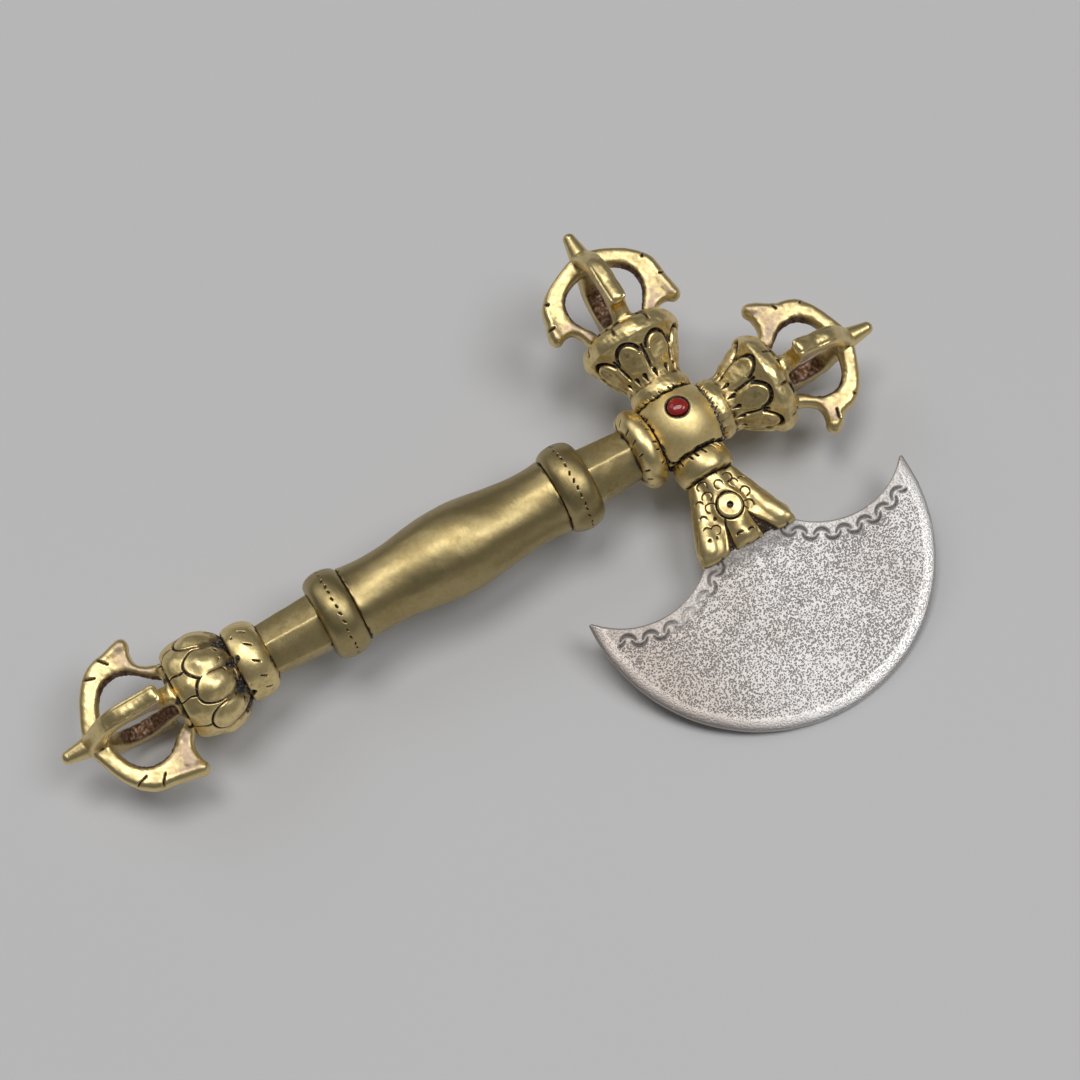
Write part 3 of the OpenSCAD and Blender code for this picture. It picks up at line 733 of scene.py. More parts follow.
def cage(name, arm, lotus_node, nicks, nick_width, seed):
    axes = arm_axes(arm)
    foot = stretch(lotus_node, arm)[1]
    mesh, points, normals = recast(name + "_skin", name, CAGE_GRAIN, EDGE_ROUNDS)
    place, facing = points @ axes.T, normals @ axes.T
    height = place[:, 2] - foot
    x, y = np.abs(place[:, 0]), np.abs(place[:, 1])
    front_back = x > y
    across = np.where(front_back, facing[:, 1], facing[:, 0])
    radius, aside = np.maximum(x, y), np.minimum(x, y)
    outward = np.sign(np.where(front_back, place[:, 0], place[:, 1]))
    outward = outward * np.where(front_back, facing[:, 0], facing[:, 1])
    prong = soft_step(radius, 2.2, 3.2) * soft_step(height, 0.6, 1.2)
    flat = soft_step(np.abs(across), 0.9, 0.995) * prong
    flank = flat * (0.15 + 0.85 * soft_step(7.5 - height, 0, 3.5))
    inner = soft_step(-outward, 0.25, 0.75) * soft_step(height, 0.3, 1.0) * (1 - flat)
    nick = np.maximum.reduce([chisel(radius, height, *ends, nick_width) for ends in nicks])
    nick = nick * soft_step(aside, 0.7, 1.1) * ~front_back
    depth = 0.05 * hills(points, 3.5, seed) + 0.02 * hills(points, 1.2, seed + 1)
    depth = depth + 0.24 - 0.45 * nick + inner * 0.08 * hills(points, 0.9, seed + 2)
    back = np.sqrt(np.clip(1 - (aside / PRONG_HALF) ** 2, 0, 1))
    back = back - np.where(front_back, 1.3, 0.75)
    depth = depth + 0.5 * back * soft_step(outward, 0.3, 0.8) * prong
    knob = np.where(front_back, 0.05, 0.42)
    depth = depth + knob * soft_step(radius - radius.max(), -1.9, -0.4)
    foot_crust = ragged(height, points, 0.7, 0.4, 1.6, seed + 3, 0.5)
    place = (points + normals * depth[:, None]) @ axes.T
    below_tip = place[:, 2].max() - place[:, 2]
    off_axis = np.hypot(place[:, 0], place[:, 1]) + 1e-6
    tip = np.sqrt(np.clip(below_tip * (2 * BUD_R - below_tip), 0, BUD_R ** 2))
    cone = np.where(below_tip < BUD_R, tip, BUD_R + BUD_TAPER * (below_tip - BUD_R))
    bud = soft_step(BUD_LENGTH - below_tip, 0, 1.2) * (off_axis < BUD_REACH)
    place[:, :2] *= (1 + bud * (cone / off_axis - 1))[:, None]
    return finish_piece(mesh, name + "_skin", [name], place @ axes,
                        {"cut": np.maximum(nick, 0.8 * foot_crust), "flank": flank,
                         "inner": inner})


cages = [cage("right_cage", "right", "right_lotus", NICKS, 0.5, 101),
         cage("top_cage", "top", "top_lotus", NICKS, 0.5, 107),
         cage("pommel_cage", "handle", "pommel_lotus", POMMEL_NICKS, 0.32, 113)]

# %% [markdown]
# ## Ball
# The ball is a plain polished dome between its four seats. A crust sits where it meets
# the arms, and a dark groove runs round the pocket of the stone.

# %% Make the ball
COLLET_R, COLLET_WIDE = 1.95, 0.7
BALL_SEAT = stretch("right_lotus", "right")[0]
mesh, points, normals = recast("ball_skin", "ball", BALL_GRAIN, 3)
stone_middle = to_plan(np.array([middle("red_stone")]))[0]
edge = BALL_SEAT - np.maximum(np.abs(points[:, 0]), np.abs(points[:, 1]))
from_stone = np.hypot(points[:, 0] - stone_middle[0], points[:, 1] - stone_middle[1])
crust = ragged(edge, points, 0.32, 0.25, 1.4, 121, 0.35)
collet = groove(from_stone - COLLET_R, COLLET_WIDE) * (points[:, 2] > 0)
dent = 0.04 * hills(points, 5, 122) - 0.15 * crust + 0.12 * crust * hills(points, 0.6, 123)
ball = finish_piece(mesh, "ball_skin", ["ball"],
                    points + normals * (dent - 0.08 * collet)[:, None],
                    {"cut": np.maximum(crust, 0.7 * collet)})

# %% [markdown]
# ## Solder
# The right seam is filled with solder: a thin ring that bulges out of the seam, lumpy
# because it ran and froze.

# %% Run the solder
SOLDER_R, SOLDER_BULGE_R, SOLDER_HALF = 4.6, 5.35, 0.32


def solder_relief(angle, height, radius, points):
    return 0.12 * hills(points, 1.3, 127), {"cut": 0 * angle}


solder_outline = drawn([SOLDER_R, -SOLDER_HALF],
                       ([SOLDER_BULGE_R, -0.3], [SOLDER_BULGE_R, 0.3], [SOLDER_R, SOLDER_HALF], 10))
solder = turn("right_seam_solder", "right", BALL_SEAT, solder_outline, solder_relief, 300, 0.1)

# %% [markdown]
# ## Stone
# The stone is a small cabochon, set flush and ground by eye, so it is a little oval. It
# stands on the line from the middle of the ball through its pocket.

# %% Set the stone
STONE_R, STONE_SIDE, STONE_TOP, STONE_DEEP = 1.68, 0.75, 1.65, 0.8
stone_lean = math.atan2(stone_middle[1], stone_middle[2])
stone_axes = np.array([[1, 0, 0], [0, math.cos(stone_lean), -math.sin(stone_lean)],
                       [0, math.sin(stone_lean), math.cos(stone_lean)]])
stone_base = np.linalg.norm(stone_middle) - STONE_DEEP


def stone_relief(angle, height, radius, points):
    oval = 0.07 * np.cos(2 * angle + 0.6) + 0.05 * np.cos(3 * angle + 2.0)
    return oval * radius / STONE_R, {"cut": 0 * angle}


stone_outline = drawn([STONE_R, 0], [STONE_R, STONE_SIDE],
                      ([STONE_R, 1.25], [1.2, 1.6], [0.02, STONE_TOP], 16))
stone = turn("red_stone_skin", "top", 0, stone_outline, stone_relief, 160, 0.06,
             ["red_stone"], stone_axes, stone_axes[2] * stone_base)

# %% [markdown]
# ## Makara head
# The makara bites the blade between two long lips, with a domed snout between them. The
# brow round the eye was rubbed flatter, so that part of the skin is smoothed again.

# %% Recast the head and rub its brow
BROW_R, BROW_ROUNDS = 4.4, 140
EYE_Z = -to_plan(np.array([middle("eye_rivet")]))[0][1]
head_start, head_end = stretch("makara_head", "makara")

mesh, points, normals = recast("makara_head_skin", "makara_head", HEAD_GRAIN, 60)
x, z = points[:, 0], -points[:, 1]
from_eye = np.hypot(x, z - EYE_Z)
brow = soft_step(BROW_R - from_eye, 0, 1.2)[:, None]
points = points + brow * (smoothed(points, edge_rows(mesh), BROW_ROUNDS) - points)
move_points(mesh, points)
normals = point_rows(mesh, "normal")
print("head from", round(head_start, 1), "to", round(head_end, 1), "mm, eye at", round(EYE_Z, 1))

# %% [markdown]
# The skin is covered with scales, each one blow of a ring punch, and crescents and dots
# towards the lips. Two crescents open the nostrils. The marks are listed by place, as x
# across the head and z from the middle of the ball, and both faces of the head carry them.

# %% Punch the makara head
RING_R, RING_CUT = 0.8, 0.2
SCALES = [(-2.4, 10.8), (-2.5, 12.7), (-2.9, 14.5), (0.1, 11.9), (2.1, 11.3), (2.5, 12.6),
          (3.5, 14.7), (3.0, 16.9), (-3.9, 18.1)]
HALF_SCALES = [(0.1, 10.2), (-4.3, 13.4), (-4.9, 15.9), (-5.3, 17.8), (4.0, 12.9)]
DOTS = [(-4.5, 19.3), (-5.8, 19.2), (-3.1, 16.4)]
NOSTRILS = [(-0.9, 20.6), (1.1, 20.8)]
LIPS = [((-4.0, 16.5), (-6.5, 21.6)), ((3.6, 16.5), (6.7, 21.4))]
VALLEYS = [((-1.9, 17.4), (-3.2, 23.5), 0.7), ((1.9, 17.3), (4.3, 23.8), 1.5)]
SLIT = ((-1.9, 17.3), (-2.3, 19.8))
random = np.random.default_rng(139)
facing = soft_step(np.abs(normals[:, 2]), 0.25, 0.6)


def punched(places, mark):
    """The deepest of a mark at several places. mark takes x and z from its own place."""
    return np.maximum.reduce([mark(x - place_x, z - place_z) for place_x, place_z in places])


cut = np.maximum.reduce([
    punched(SCALES, lambda a, b: crescent(a, b, RING_R, random.uniform(-2.2, 0), RING_CUT, 2.5)),
    punched(HALF_SCALES, lambda a, b: crescent(a, b, 0.75, -1.2, 0.28, 1.3)),
    punched(DOTS, lambda a, b: groove(np.hypot(a, b), 0.7)),
    punched(NOSTRILS, lambda a, b: 1.4 * crescent(a, b - 0.35, 0.62, -1.57, 0.42, 1.2)),
    chisel(x, z, *SLIT, 0.4)]) * facing
print("marks on each face:", len(SCALES + HALF_SCALES + DOTS + NOSTRILS) + 1)

# %% [markdown]
# The lips swell along two lines that spread to the blade, and a valley deepens beside
# each. Both are measured from a line, as distance and as how far along it a point lies.

# %% Raise the lips and finish the head
LIP_HALF = 2.2
SNOUT_AT, SNOUT_SIZE = (0.3, 20.3), (1.7, 2.2)

lips = np.zeros(len(points))
for start, end in LIPS:
    away, t = off_line(x, z, start, end)
    lip = np.sqrt(np.clip(1 - (away / LIP_HALF) ** 2, 0, 1)) * soft_step(t, 0, 0.6)
    lips = np.maximum(lips, lip)
valleys = np.zeros(len(points))
for start, end, wide in VALLEYS:
    away, t = off_line(x, z, start, end)
    width = 0.2 + (wide + 0.2) * t ** 1.3
    valleys = np.maximum(valleys, soft_step(width - away, 0, 0.5) * soft_step(t, 0, 0.2))
socket = groove(from_eye - 2.25, 0.45) * facing
snout = np.exp(-((x - SNOUT_AT[0]) / SNOUT_SIZE[0]) ** 2
               - ((z - SNOUT_AT[1]) / SNOUT_SIZE[1]) ** 2) * facing
swell = sum(np.exp(-((x - sx) ** 2 + (z - sz) ** 2) / 0.35) for sx, sz in SCALES) * facing
crown_crust = ragged(z - head_start, points, 0.3, 0.3, 1.5, 131, 0.4)
bite_crust = ragged(head_end - z, points, 0.2, 0.25, 1.2, 132, 0.35)
rise = (0.05 * hills(points, 3.2, 133) - 0.25 * cut + 0.05 * swell + 0.6 * lips * facing
        + 0.35 * snout - 0.12 * socket - 0.15 * crown_crust)
points = points + normals * rise[:, None]
to_bite = np.clip(1 - (head_end - z) / 1.8, 0, 1)
rounded_end = 0.42 * (1 - np.sqrt(1 - to_bite ** 2))
points[:, 2] *= 1 - rounded_end - 0.34 * valleys * (np.abs(points[:, 2]) > 1)
head = finish_piece(mesh, "makara_head_skin", ["makara_head"], points,
                    {"cut": np.maximum.reduce([cut, socket, crown_crust, 0.7 * valleys,
                                               0.6 * bite_crust]).clip(0, 1),
                     "inner": np.maximum(valleys, 0.6 * bite_crust)})

# %% [markdown]
# ## Eyes
# The eyes are the two heads of the rivet that runs through the tang of the blade. Each is
# a disc with a soft rim, dished towards a drilled pupil.

# %% Turn the rivet
EYE_R, EYE_H, PUPIL_R = 2.05, 3.3, 0.5
eye = [[PUPIL_R, EYE_H - 0.75], [PUPIL_R, EYE_H - 0.2], [PUPIL_R + 0.1, EYE_H - 0.12],
       [1.2, EYE_H - 0.06], [1.7, EYE_H], [1.92, EYE_H - 0.08], [EYE_R, EYE_H - 0.3],
       [EYE_R, 2.1], [1.0, 2.05]]
eye_outline = np.array([[r, -h] for r, h in eye] + [[r, h] for r, h in reversed(eye)])


def eye_relief(angle, height, radius, points):
    return 0.02 * hills(points, 1.5, 137), {"cut": soft_step(PUPIL_R + 0.05 - radius, 0, 0.04)}


rivet = turn("eye_rivet_skin", "makara", 0, eye_outline, eye_relief, 160, 0.07,
             replaced=["eye_rivet"], axes=np.eye(3), foot=np.array([0, -EYE_Z, 0]))

# %% [markdown]
# ## Blade
# The blade is a crescent of pale, pitted iron. A chain of crescents runs along both bays
# from horn to head, in two rows that reach into each other. It is worn in the left bay,
# faint under the mouth, and stops short of the ground edge. The widest pits are in the
# mesh, the fine ones in the material.

# %% Chase the blade
BAY_R = 14.4
CHAIN_OUT, CHAIN_REACH = 2, 4.2  # mm outside the bay: where its pitch is true, its end
LINK_PITCH, LINK_R, LINK_OPEN = 3.65, 1.3, 1.5
LINK_ROWS = [(2.5, -1.0, 0.0), (1.75, 1.0, 0.5)]  # centre from the edge, way it faces, shift
MOUTH_HALF, BAY_RISE, EDGE_R, EDGE_DROP = 8.6, 10.6, 29.6, 1.4
BEVEL = 2.2
bay_x = MOUTH_HALF + math.sqrt(BAY_R ** 2 - BAY_RISE ** 2)
bay_z = head_end - BAY_RISE
edge_z = head_end + EDGE_DROP

mesh, points, normals = recast("blade_skin", "blade", BLADE_GRAIN, 2)
x, z = points[:, 0], -points[:, 1]
facing = soft_step(np.abs(normals[:, 2]), 0.6, 0.9)
from_bay = np.hypot(np.abs(x) - bay_x, z - bay_z) - BAY_R
along_bay = np.arctan2(z - bay_z, bay_x - np.abs(x)) * (BAY_R + CHAIN_OUT)


def links(along, away):
    """Crescents in two rows that reach into each other. away is the distance from the edge."""
    total = np.zeros(len(along))
    for centre, way, shift in LINK_ROWS:
        link_x = along - (np.round(along / LINK_PITCH - shift) + shift) * LINK_PITCH
        link_y = away - centre
        turn_off = np.abs(np.arctan2(link_x, way * link_y))
        width = 0.6 - 0.34 * (turn_off / LINK_OPEN) ** 2
        link = groove(np.hypot(link_x, link_y) - LINK_R, np.maximum(width, 0.05))
        total = np.maximum(total, link * soft_step(LINK_OPEN - turn_off, 0, 0.3))
    return total


from_edge = EDGE_R - np.hypot(x, z - edge_z)
worn = (1 - 0.55 * np.exp(-((x + 14) / 5) ** 2)) * soft_step(from_edge, 2.0, 2.6)
bay_chain = links(along_bay, from_bay) * (from_bay < CHAIN_REACH) * worn
mouth_chain = links(x, z - head_end) * soft_step(MOUTH_HALF - 1.2 - np.abs(x), 0, 0.8)
chain = np.maximum(bay_chain, 0.5 * mouth_chain) * facing
bevel = soft_step(BEVEL + 0.15 * hills(points, 4, 141) - from_edge, -0.1, 0.25)
pocks = soft_step(hills(points, 1.1, 142, 30) + 0.4 * hills(points, 0.7, 143, 30), 1.0, 1.5)
pocks = pocks * facing * (1 - bevel)
ground = np.clip(from_edge / BEVEL, 0, 1)
rounding = 0.65 * (np.sqrt(1 - (1 - ground) ** 2) - ground)
plain = np.maximum(soft_step(3.4 + 0.4 * hills(points, 3, 145) - from_bay, 0, 1.2), bevel)
dip = 0.03 * hills(points, 6, 144) - 0.32 * chain - 0.08 * pocks + rounding * facing
blade = finish_piece(mesh, "blade_skin", ["blade"],
                     points + normals * dip[:, None],
                     {"cut": chain, "bevel": bevel, "pock": pocks * (1 - plain), "plain": plain,
                      # painted shade: the blade darker and browner towards the left horn
                      "painted_left_shade": soft_step(-2 - x, 0, 22),
                      "shade": soft_step(3.0 - (z - head_end), 0, 2.5)
                      * soft_step(MOUTH_HALF + 1 - np.abs(x), 0, 2)})

# %% [markdown]
# ## A small language for materials
# A material is arithmetic, and arithmetic reads best as arithmetic. `Wire` wraps the
# output of a node, so that `1 - mask` or `grain * 0.3 + 0.2` adds the Math nodes itself.

# %% Wires
def maths(operation, flipped=False):
    """A method of Wire that adds a Math node for the wire and another value."""
    def method(self, other):
        values = (other, self) if flipped else (self, other)
        return self.finish.node("ShaderNodeMath", {"operation": operation},
                                dict(enumerate(values)))
    return method


class Wire:
    """The output of a node, on which sums can be done."""

    __add__ = __radd__ = maths("ADD")
    __sub__, __rsub__ = maths("SUBTRACT"), maths("SUBTRACT", flipped=True)
    __mul__ = __rmul__ = maths("MULTIPLY")
    most = maths("MAXIMUM")

    def __init__(self, finish, socket):
        self.finish, self.socket = finish, socket

    def step(self, low, high):
        """0 below low and 1 above high, smooth between."""
        return self.finish.node("ShaderNodeMapRange", {"interpolation_type": "SMOOTHSTEP"},
                                {"Value": self, "From Min": low, "From Max": high})


# %% [markdown]
# `Finish` is one material under way. Its `node` adds any other node: the settings go in
# first, because they may change which sockets there are, and then the values and wires.

# %% Finishes
finishes = {}


class Finish:
    """A material under way."""

    def __init__(self, name):
        self.material = bpy.data.materials.new(name)
        self.material.use_nodes = True
        self.tree = self.material.node_tree
        self.tree.nodes.clear()
        place = self.node("ShaderNodeTexCoord", out="Object")
        self.place = self.node("ShaderNodeVectorMath", {"operation": "SCALE"},
                               {0: place, "Scale": 1 / MM})

    def node(self, kind, settings=None, sockets=None, out=0):
        """Adds a node and gives its output: settings first, then values and wires."""
        made = self.tree.nodes.new(kind)
        for key, value in (settings or {}).items():
            setattr(made, key, value)
        for key, value in (sockets or {}).items():
            if isinstance(value, Wire):
                self.tree.links.new(value.socket, made.inputs[key])
            else:
                made.inputs[key].default_value = value
        return Wire(self, made.outputs[out])

    def mark(self, name):
        """A mark that was stored on the points of the mesh."""
        return self.node("ShaderNodeAttribute", {"attribute_name": name}, out="Fac")

    def noise(self, size, detail=3.0, roughness=0.5, squeeze=(1, 1, 1)):
        """Cloudy noise with lumps about size mm wide, narrower along an axis if squeezed."""
        place = self.place
        if squeeze != (1, 1, 1):
            place = self.node("ShaderNodeVectorMath", {"operation": "MULTIPLY"},
                              {0: place, 1: squeeze})
        return self.node("ShaderNodeTexNoise", {"noise_dimensions": "3D"},
                         {"Vector": place, "Scale": 1 / size, "Detail": detail,
                          "Roughness": roughness}, "Fac")

    def mix(self, mask, low, high):
        """The colour low where the mask is 0, and high where it is 1."""
        return self.node("ShaderNodeMix", {"data_type": "RGBA"},
                         {0: mask, 6: colour(low), 7: colour(high)}, 2)

    def bump(self, height, depth, under=None):
        """A bump depth mm deep, on top of another one if given."""
        sockets = {"Height": height, "Distance": depth * MM, "Strength": 1.0}
        if under is not None:
            sockets["Normal"] = under
        return self.node("ShaderNodeBump", {}, sockets, "Normal")

    def close(self, **sockets):
        """Ends the material in a Principled surface and keeps it among the finishes."""
        named = {key.replace("_", " "): value for key, value in sockets.items()}
        surface = self.node("ShaderNodeBsdfPrincipled", {}, named)
        output = self.tree.nodes.new("ShaderNodeOutputMaterial")
        self.tree.links.new(surface.socket, output.inputs["Surface"])
        finishes[self.material.name] = self.material


def colour(value):
    return value if isinstance(value, Wire) else (*value, 1.0)


# %% [markdown]
# ## Brass
# The brass is olive gold where it is handled, brown to black in every recess, and
# pinkish on the dressed flats of the prongs; on the lotuses part of that dark is painted
# shade. One function mixes these from the marks on the mesh and from cloudy noise, so the
# patina breaks up instead of following the marks like paint. Fine scratches lie across
# the piece, and each kind of piece gets its own brass: the necks are filed across, and
# the ball is the least glossy. Each brass also gets painted light, a gold made lighter or
# darker: the ball is painted brightest, the grip and collars darkest.

# %% Mix the brass
GOLD = (0.62, 0.495, 0.24)
OLIVE = (0.34, 0.245, 0.09)
PINK = (0.50, 0.375, 0.275)
BROWN = (0.13, 0.065, 0.028)
WALL = (0.27, 0.18, 0.14)
SOOT = (0.018, 0.013, 0.010)
GREY = (0.34, 0.31, 0.29)


def brass(name, squeeze, scratch, dull, light, patchy, crumbs):
    """squeeze sets the way of the scratches, scratch their depth in mm, dull how rough the
    metal is, light how bright its gold is painted, which is painted light, patchy how
    strong the patina, crumbs the grey in seams."""
    m = Finish(name)
    cut, hollow = m.mark("cut"), m.mark("hollow")
    flank, inner = m.mark("flank"), m.mark("inner")
    cloud, fine = m.noise(5.0, 4.0), m.noise(0.7, 4.0, 0.6)
    scratches = m.noise(0.5, 3.0, 0.6, squeeze)
    recess = (hollow + 0.35 * fine - 0.17).step(0.08, 0.6)
    ridge = (0 - hollow).step(0.05, 0.6)
    mottle = m.noise(1.6, 5.0, 0.65)
    tarnish = (cloud + mottle + fine).step(1.25, 1.95) * patchy
    stain = (cut + 0.6 * fine - 0.3).step(0.1, 0.5)
    dark = (cut + 0.5 * fine - 0.25).step(0.35, 0.8)
    # Painted light: the gold is scaled by light, brighter or darker for each kind of piece.
    gold = tuple(light * part for part in GOLD)
    base = m.mix(tarnish * (1 - 0.7 * ridge), gold, OLIVE)
    base = m.mix(flank * (cloud + mottle).step(0.75, 1.1), base, PINK)
    base = m.mix(inner, base, m.mix(fine.step(0.4, 0.6), WALL, BROWN))
    base = m.mix(recess * (1 - 0.6 * flank), base, BROWN)
    base = m.mix(stain * 0.7, base, BROWN)
    base = m.mix(dark, base, SOOT)
    base = m.mix(dark * m.noise(0.35, 2.0).step(0.56, 0.64) * crumbs, base, GREY)
    rough = dull + 0.14 * tarnish + 0.16 * (scratches - 0.5) + 0.25 * recess
    rough = rough + 0.3 * dark + 0.16 * inner - 0.05 * ridge + 0.1 * flank
    bumps = m.bump(scratches, scratch)
    bumps = m.bump(fine, 0.02, bumps)
    metal = 1 - 0.75 * dark - 0.3 * recess * inner - 0.25 * flank
    m.close(Base_Color=base, Metallic=metal, Roughness=rough, Normal=bumps)


# light is painted light: how much brighter or darker each brass's gold is painted.
BRASSES = {  # squeeze, scratch, dull, light, patchy, crumbs
    "satin_brass": ((2.2, 0.5, 0.5), 0.02, 0.4, 0.72, 0.5, 0.0),
    "filed_brass": ((5.0, 0.35, 0.35), 0.05, 0.38, 0.9, 0.7, 0.0),
    "chased_brass": ((1.0, 1.0, 1.0), 0.02, 0.38, 1.42, 0.62, 0.6),
    "cage_brass": ((1.3, 0.8, 1.0), 0.02, 0.38, 1.3, 0.6, 0.0),
    "ball_brass": ((1.0, 1.0, 1.0), 0.02, 0.5, 1.5, 0.3, 0.9)}
for name, values in BRASSES.items():
    brass(name, *values)
print("brasses:", list(finishes))

# %% [markdown]
# ## Iron
# The iron of the blade is pale, with dark pits a few tenths of a millimetre apart that
# crowd together in places, and a brown bloom in patches. Towards the left horn it is
# darker and browner, which is painted shade. The ground bevel is cleaner and smoother.

# %% Mix the iron
DOT_PITCH = 0.3  # mm between pits
IRON, PIT, RUST = (0.62, 0.602, 0.586), (0.17, 0.16, 0.156), (0.36, 0.285, 0.235)
INK = (0.10, 0.092, 0.088)
m = Finish("pitted_iron")
chain_cut, bevel_mark, pock_mark, shade_mark, plain_mark, painted_left_shade_mark = (
    m.mark(name) for name in ("cut", "bevel", "pock", "shade", "plain", "painted_left_shade"))
speck = m.noise(0.4, 3.0, 0.7)
dots = m.node("ShaderNodeTexVoronoi", {"feature": "F1"},
              {"Vector": m.place, "Scale": 1 / DOT_PITCH, "Randomness": 1.0}, "Distance")
grain = m.noise(0.17, 2.0, 0.6)
cloud = m.noise(9.0, 3.0)
pits = (0.9 * (speck - 0.5) + 0.25 * (grain - 0.5) + 0.3 * (cloud - 0.5) - dots).step(-0.58, -0.16)
pits = pits * (1 - 0.6 * plain_mark)
dark = (pits * 0.85).most(pock_mark * 0.7).most(shade_mark * speck)
bloom = (m.noise(22.0, 2.0) + 0.3 * speck).step(0.66, 0.95)
# Rust bloom in patches, and painted shade that makes the blade darker and browner towards the left
# horn.
base = m.mix((bloom * 0.5).most(painted_left_shade_mark * 0.6), IRON, RUST)
base = m.mix(dark * 0.7, base, PIT)
base = m.mix(chain_cut.step(0.15, 0.9) * 0.85, base, INK)
rough = 0.48 + 0.3 * dark - 0.1 * bevel_mark + 0.12 * (grain - 0.5)
bumps = m.bump(1 - pits, 0.05)
bumps = m.bump(grain, 0.012, bumps)
m.close(Base_Color=base, Metallic=0.8 - 0.5 * dark, Roughness=rough, Normal=bumps)
print("pits about", DOT_PITCH, "mm apart")

# %% [markdown]
# ## Solder, stone and rod
# The solder is dull grey with dark crust. The stone is opaque red with a clear polish,
# which is what a coat is for. The rod and the studs are plain forged iron.

# %% Mix the others
m = Finish("grey_solder")
crumbs = m.noise(0.5, 4.0, 0.7)
base = m.mix(crumbs.step(0.42, 0.62), (0.03, 0.026, 0.024), (0.42, 0.40, 0.39))
m.close(Base_Color=base, Metallic=0.7, Roughness=0.3 + 0.35 * crumbs,
        Normal=m.bump(crumbs, 0.06))

m = Finish("red_cabochon")
veins = m.noise(1.1, 4.0, 0.6)
base = m.mix(veins.step(0.35, 0.75), (0.36, 0.012, 0.008), (0.2, 0.006, 0.004))
m.close(Base_Color=base, Roughness=0.5 + 0.1 * veins, Coat_Weight=1.0, Coat_Roughness=0.02,
        Specular_IOR_Level=0.2, Normal=m.bump(veins, 0.006))

m = Finish("plain_rod_iron")
scale_marks = m.noise(0.8, 4.0, 0.6)
base = m.mix(scale_marks, (0.10, 0.095, 0.09), (0.22, 0.21, 0.20))
m.close(Base_Color=base, Metallic=0.9, Roughness=0.45 + 0.2 * scale_marks,
        Normal=m.bump(scale_marks, 0.03))
print("finishes:", len(finishes))

# %% [markdown]
# ## Dress the pieces
# Every piece gets its finish. The rod and the studs stay inside their arms, but they are
# real pieces too, so their solids are dressed as well.

# %% Hand out the finishes
def dress(piece, material):
    piece.data.materials.clear()
    piece.data.materials.append(material)


rods = [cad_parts[node] for node in ("handle_rod", "right_stud", "top_stud", "makara_stud")]
for finish, pieces in (("satin_brass", [grip, *collars]), ("filed_brass", necks),
                       ("chased_brass", [*rolls, *lotuses, head, rivet]),
                       ("ball_brass", [ball]), ("cage_brass", cages), ("pitted_iron", [blade]),
                       ("grey_solder", [solder]), ("red_cabochon", [stone]),
                       ("plain_rod_iron", rods)):
    for piece in pieces:
        dress(piece, finishes[finish])

# %% [markdown]
# ## Floor
# The stage is a wide pale floor. It lies a hair below the ground, so that nothing that
# touches the ground flickers in it.

# %% Lay the floor
FLOOR_HALF, FLOOR_DROP = 6.0, 0.00005
floor_mesh = bpy.data.meshes.new("floor")
floor_mesh.from_pydata([(x, y, 0.0) for x, y in ((-1, -1), (1, -1), (1, 1), (-1, 1))],
                       [], [(0, 1, 2, 3)])
floor = new_object("floor", floor_mesh)
floor.scale = (FLOOR_HALF, FLOOR_HALF, 1)
floor.location.z = -FLOOR_DROP
m = Finish("pale_floor")
floor_tone = m.mix(m.noise(40.0, 3.0), (0.60, 0.60, 0.61), (0.64, 0.64, 0.65))
m.close(Base_Color=floor_tone, Roughness=0.75)
dress(floor, finishes["pale_floor"])
floor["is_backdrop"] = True
print("floor", 2 * FLOOR_HALF, "m wide")

# %% [markdown]
# ## Light
# All light is soft and far, so the floor is evenly lit on every side. Two broad keys
# stand to the left and right above the camera: what faces the viewer is bright and the
# sides of the brass fall off into shade, which is what makes metal look like metal. Each
# lamp's way is a sum of the camera's own three ways.

# %% Set the lights
SKY_TINT, SKY_STRENGTH = (0.95, 0.97, 1.0, 1), 0.13
LOOK_BACK = np.array([-0.12733, -0.19647, 0.97221])
LOOK_RIGHT = np.array([0.87266, -0.48807, 0.01566])
LOOK_UP = np.array([0.47143, 0.85040, 0.23360])

world = bpy.data.worlds.new("studio")
bpy.context.scene.world = world
world.use_nodes = True
sky = world.node_tree.nodes["Background"].inputs
sky["Color"].default_value, sky["Strength"].default_value = SKY_TINT, SKY_STRENGTH


def to_row_way(way):
    return Vector(np.array(LEANED) @ way).normalized()


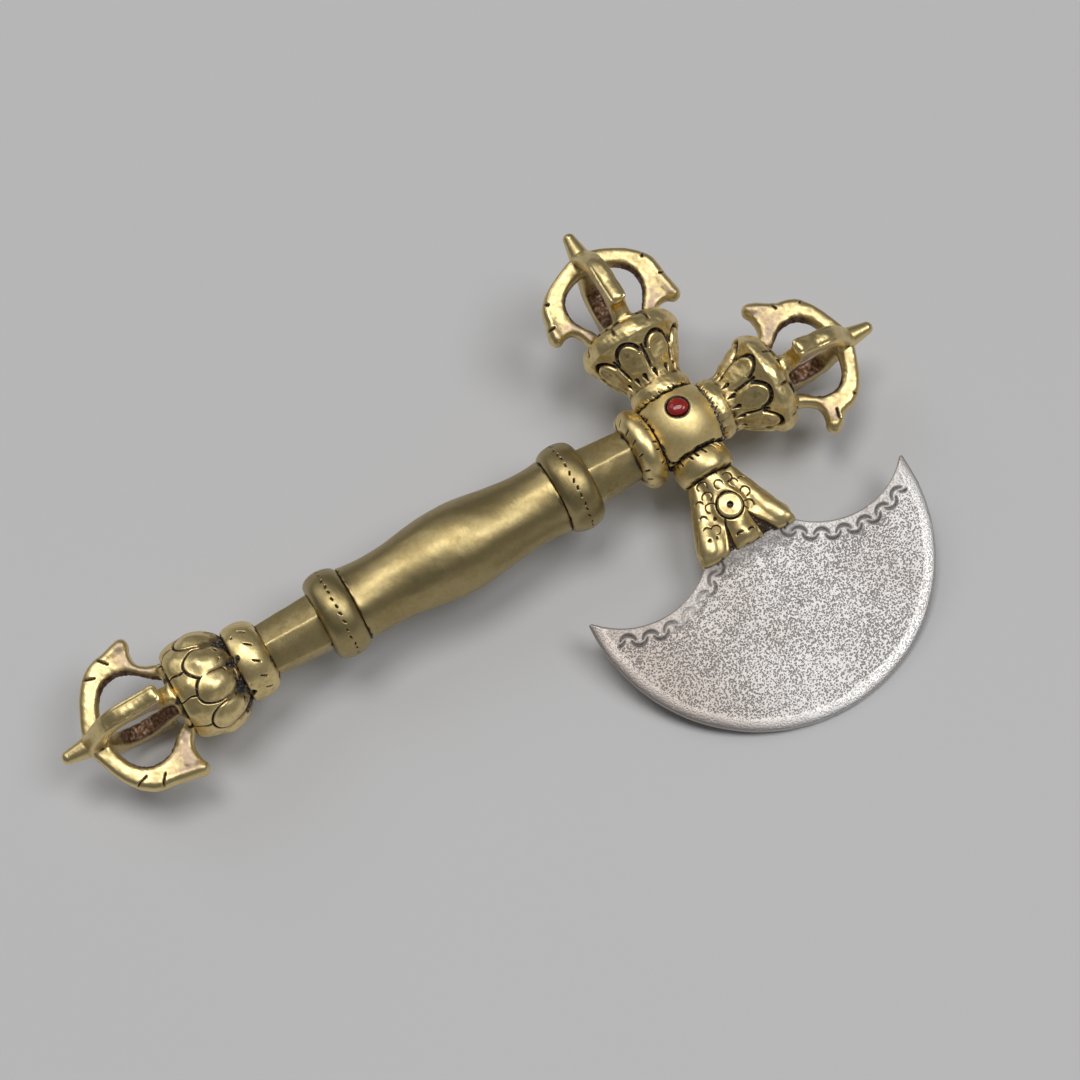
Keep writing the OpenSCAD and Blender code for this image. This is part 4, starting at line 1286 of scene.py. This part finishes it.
def sky_lamp(name, way, strength, spread, tint=(1, 1, 1)):
    """Soft far light from that direction of the plan, spread over so many degrees."""
    light = bpy.data.lights.new(name, "SUN")
    light.energy, light.angle, light.color = strength, math.radians(spread), tint
    holder = new_object(name, light)
    aim = to_row_way(way)
    holder.location = aim * 0.5
    holder.rotation_euler = aim.to_track_quat("Z", "Y").to_euler()


sky_lamp("key_left", LOOK_BACK + 0.6 * LOOK_UP - 0.2 * LOOK_RIGHT, 1.0, 27, (1.0, 0.98, 0.95))
sky_lamp("key_right", LOOK_BACK + 0.35 * LOOK_UP + 0.5 * LOOK_RIGHT, 0.9, 27)
sky_lamp("side", LOOK_BACK * 0.5 + 0.9 * LOOK_UP - 0.8 * LOOK_RIGHT, 0.3, 32)
sky_lamp("low", LOOK_BACK * 0.35 - 0.9 * LOOK_UP + 0.5 * LOOK_RIGHT, 0.1, 22)
print("lamps:", len(bpy.data.lights))

# %% [markdown]
# ## Camera
# The camera stands where the photographer stood: in front of the chopper, and a little
# towards its handle and its blade.

# %% Place the camera
CAMERA_PLACE = np.array([[-85.89, -92.45, 431.20]])  # in the plan, mm
LENS, SENSOR = 91.0, 36.0  # mm
NEAR, FAR = 0.01, 20  # m

camera_data = bpy.data.cameras.new("camera")
camera_data.lens, camera_data.sensor_width = LENS, SENSOR
camera_data.clip_start, camera_data.clip_end = NEAR, FAR
camera = new_object("camera", camera_data)
turned = Matrix([to_row_way(LOOK_RIGHT), to_row_way(LOOK_UP), to_row_way(LOOK_BACK)]).transposed()
camera.matrix_world = Matrix.Translation(Vector(to_row(CAMERA_PLACE)[0])) @ turned.to_4x4()
bpy.context.scene.camera = camera
bpy.context.scene.view_settings.view_transform = "Standard"
print("camera at", [round(v, 4) for v in camera.location])

# %% [markdown]
# ## The size at the end
# The dressed chopper must stay inside the box of its solids. Both boxes are printed.

# %% Print the sizes and end
dressed_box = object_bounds()
sizes = {"cad": [list(corner) for corner in solid_box],
         "visual": [list(corner) for corner in dressed_box]}
print("boxes in mm:", {k: [[round(v / MM, 2) for v in c] for c in b] for k, b in sizes.items()})
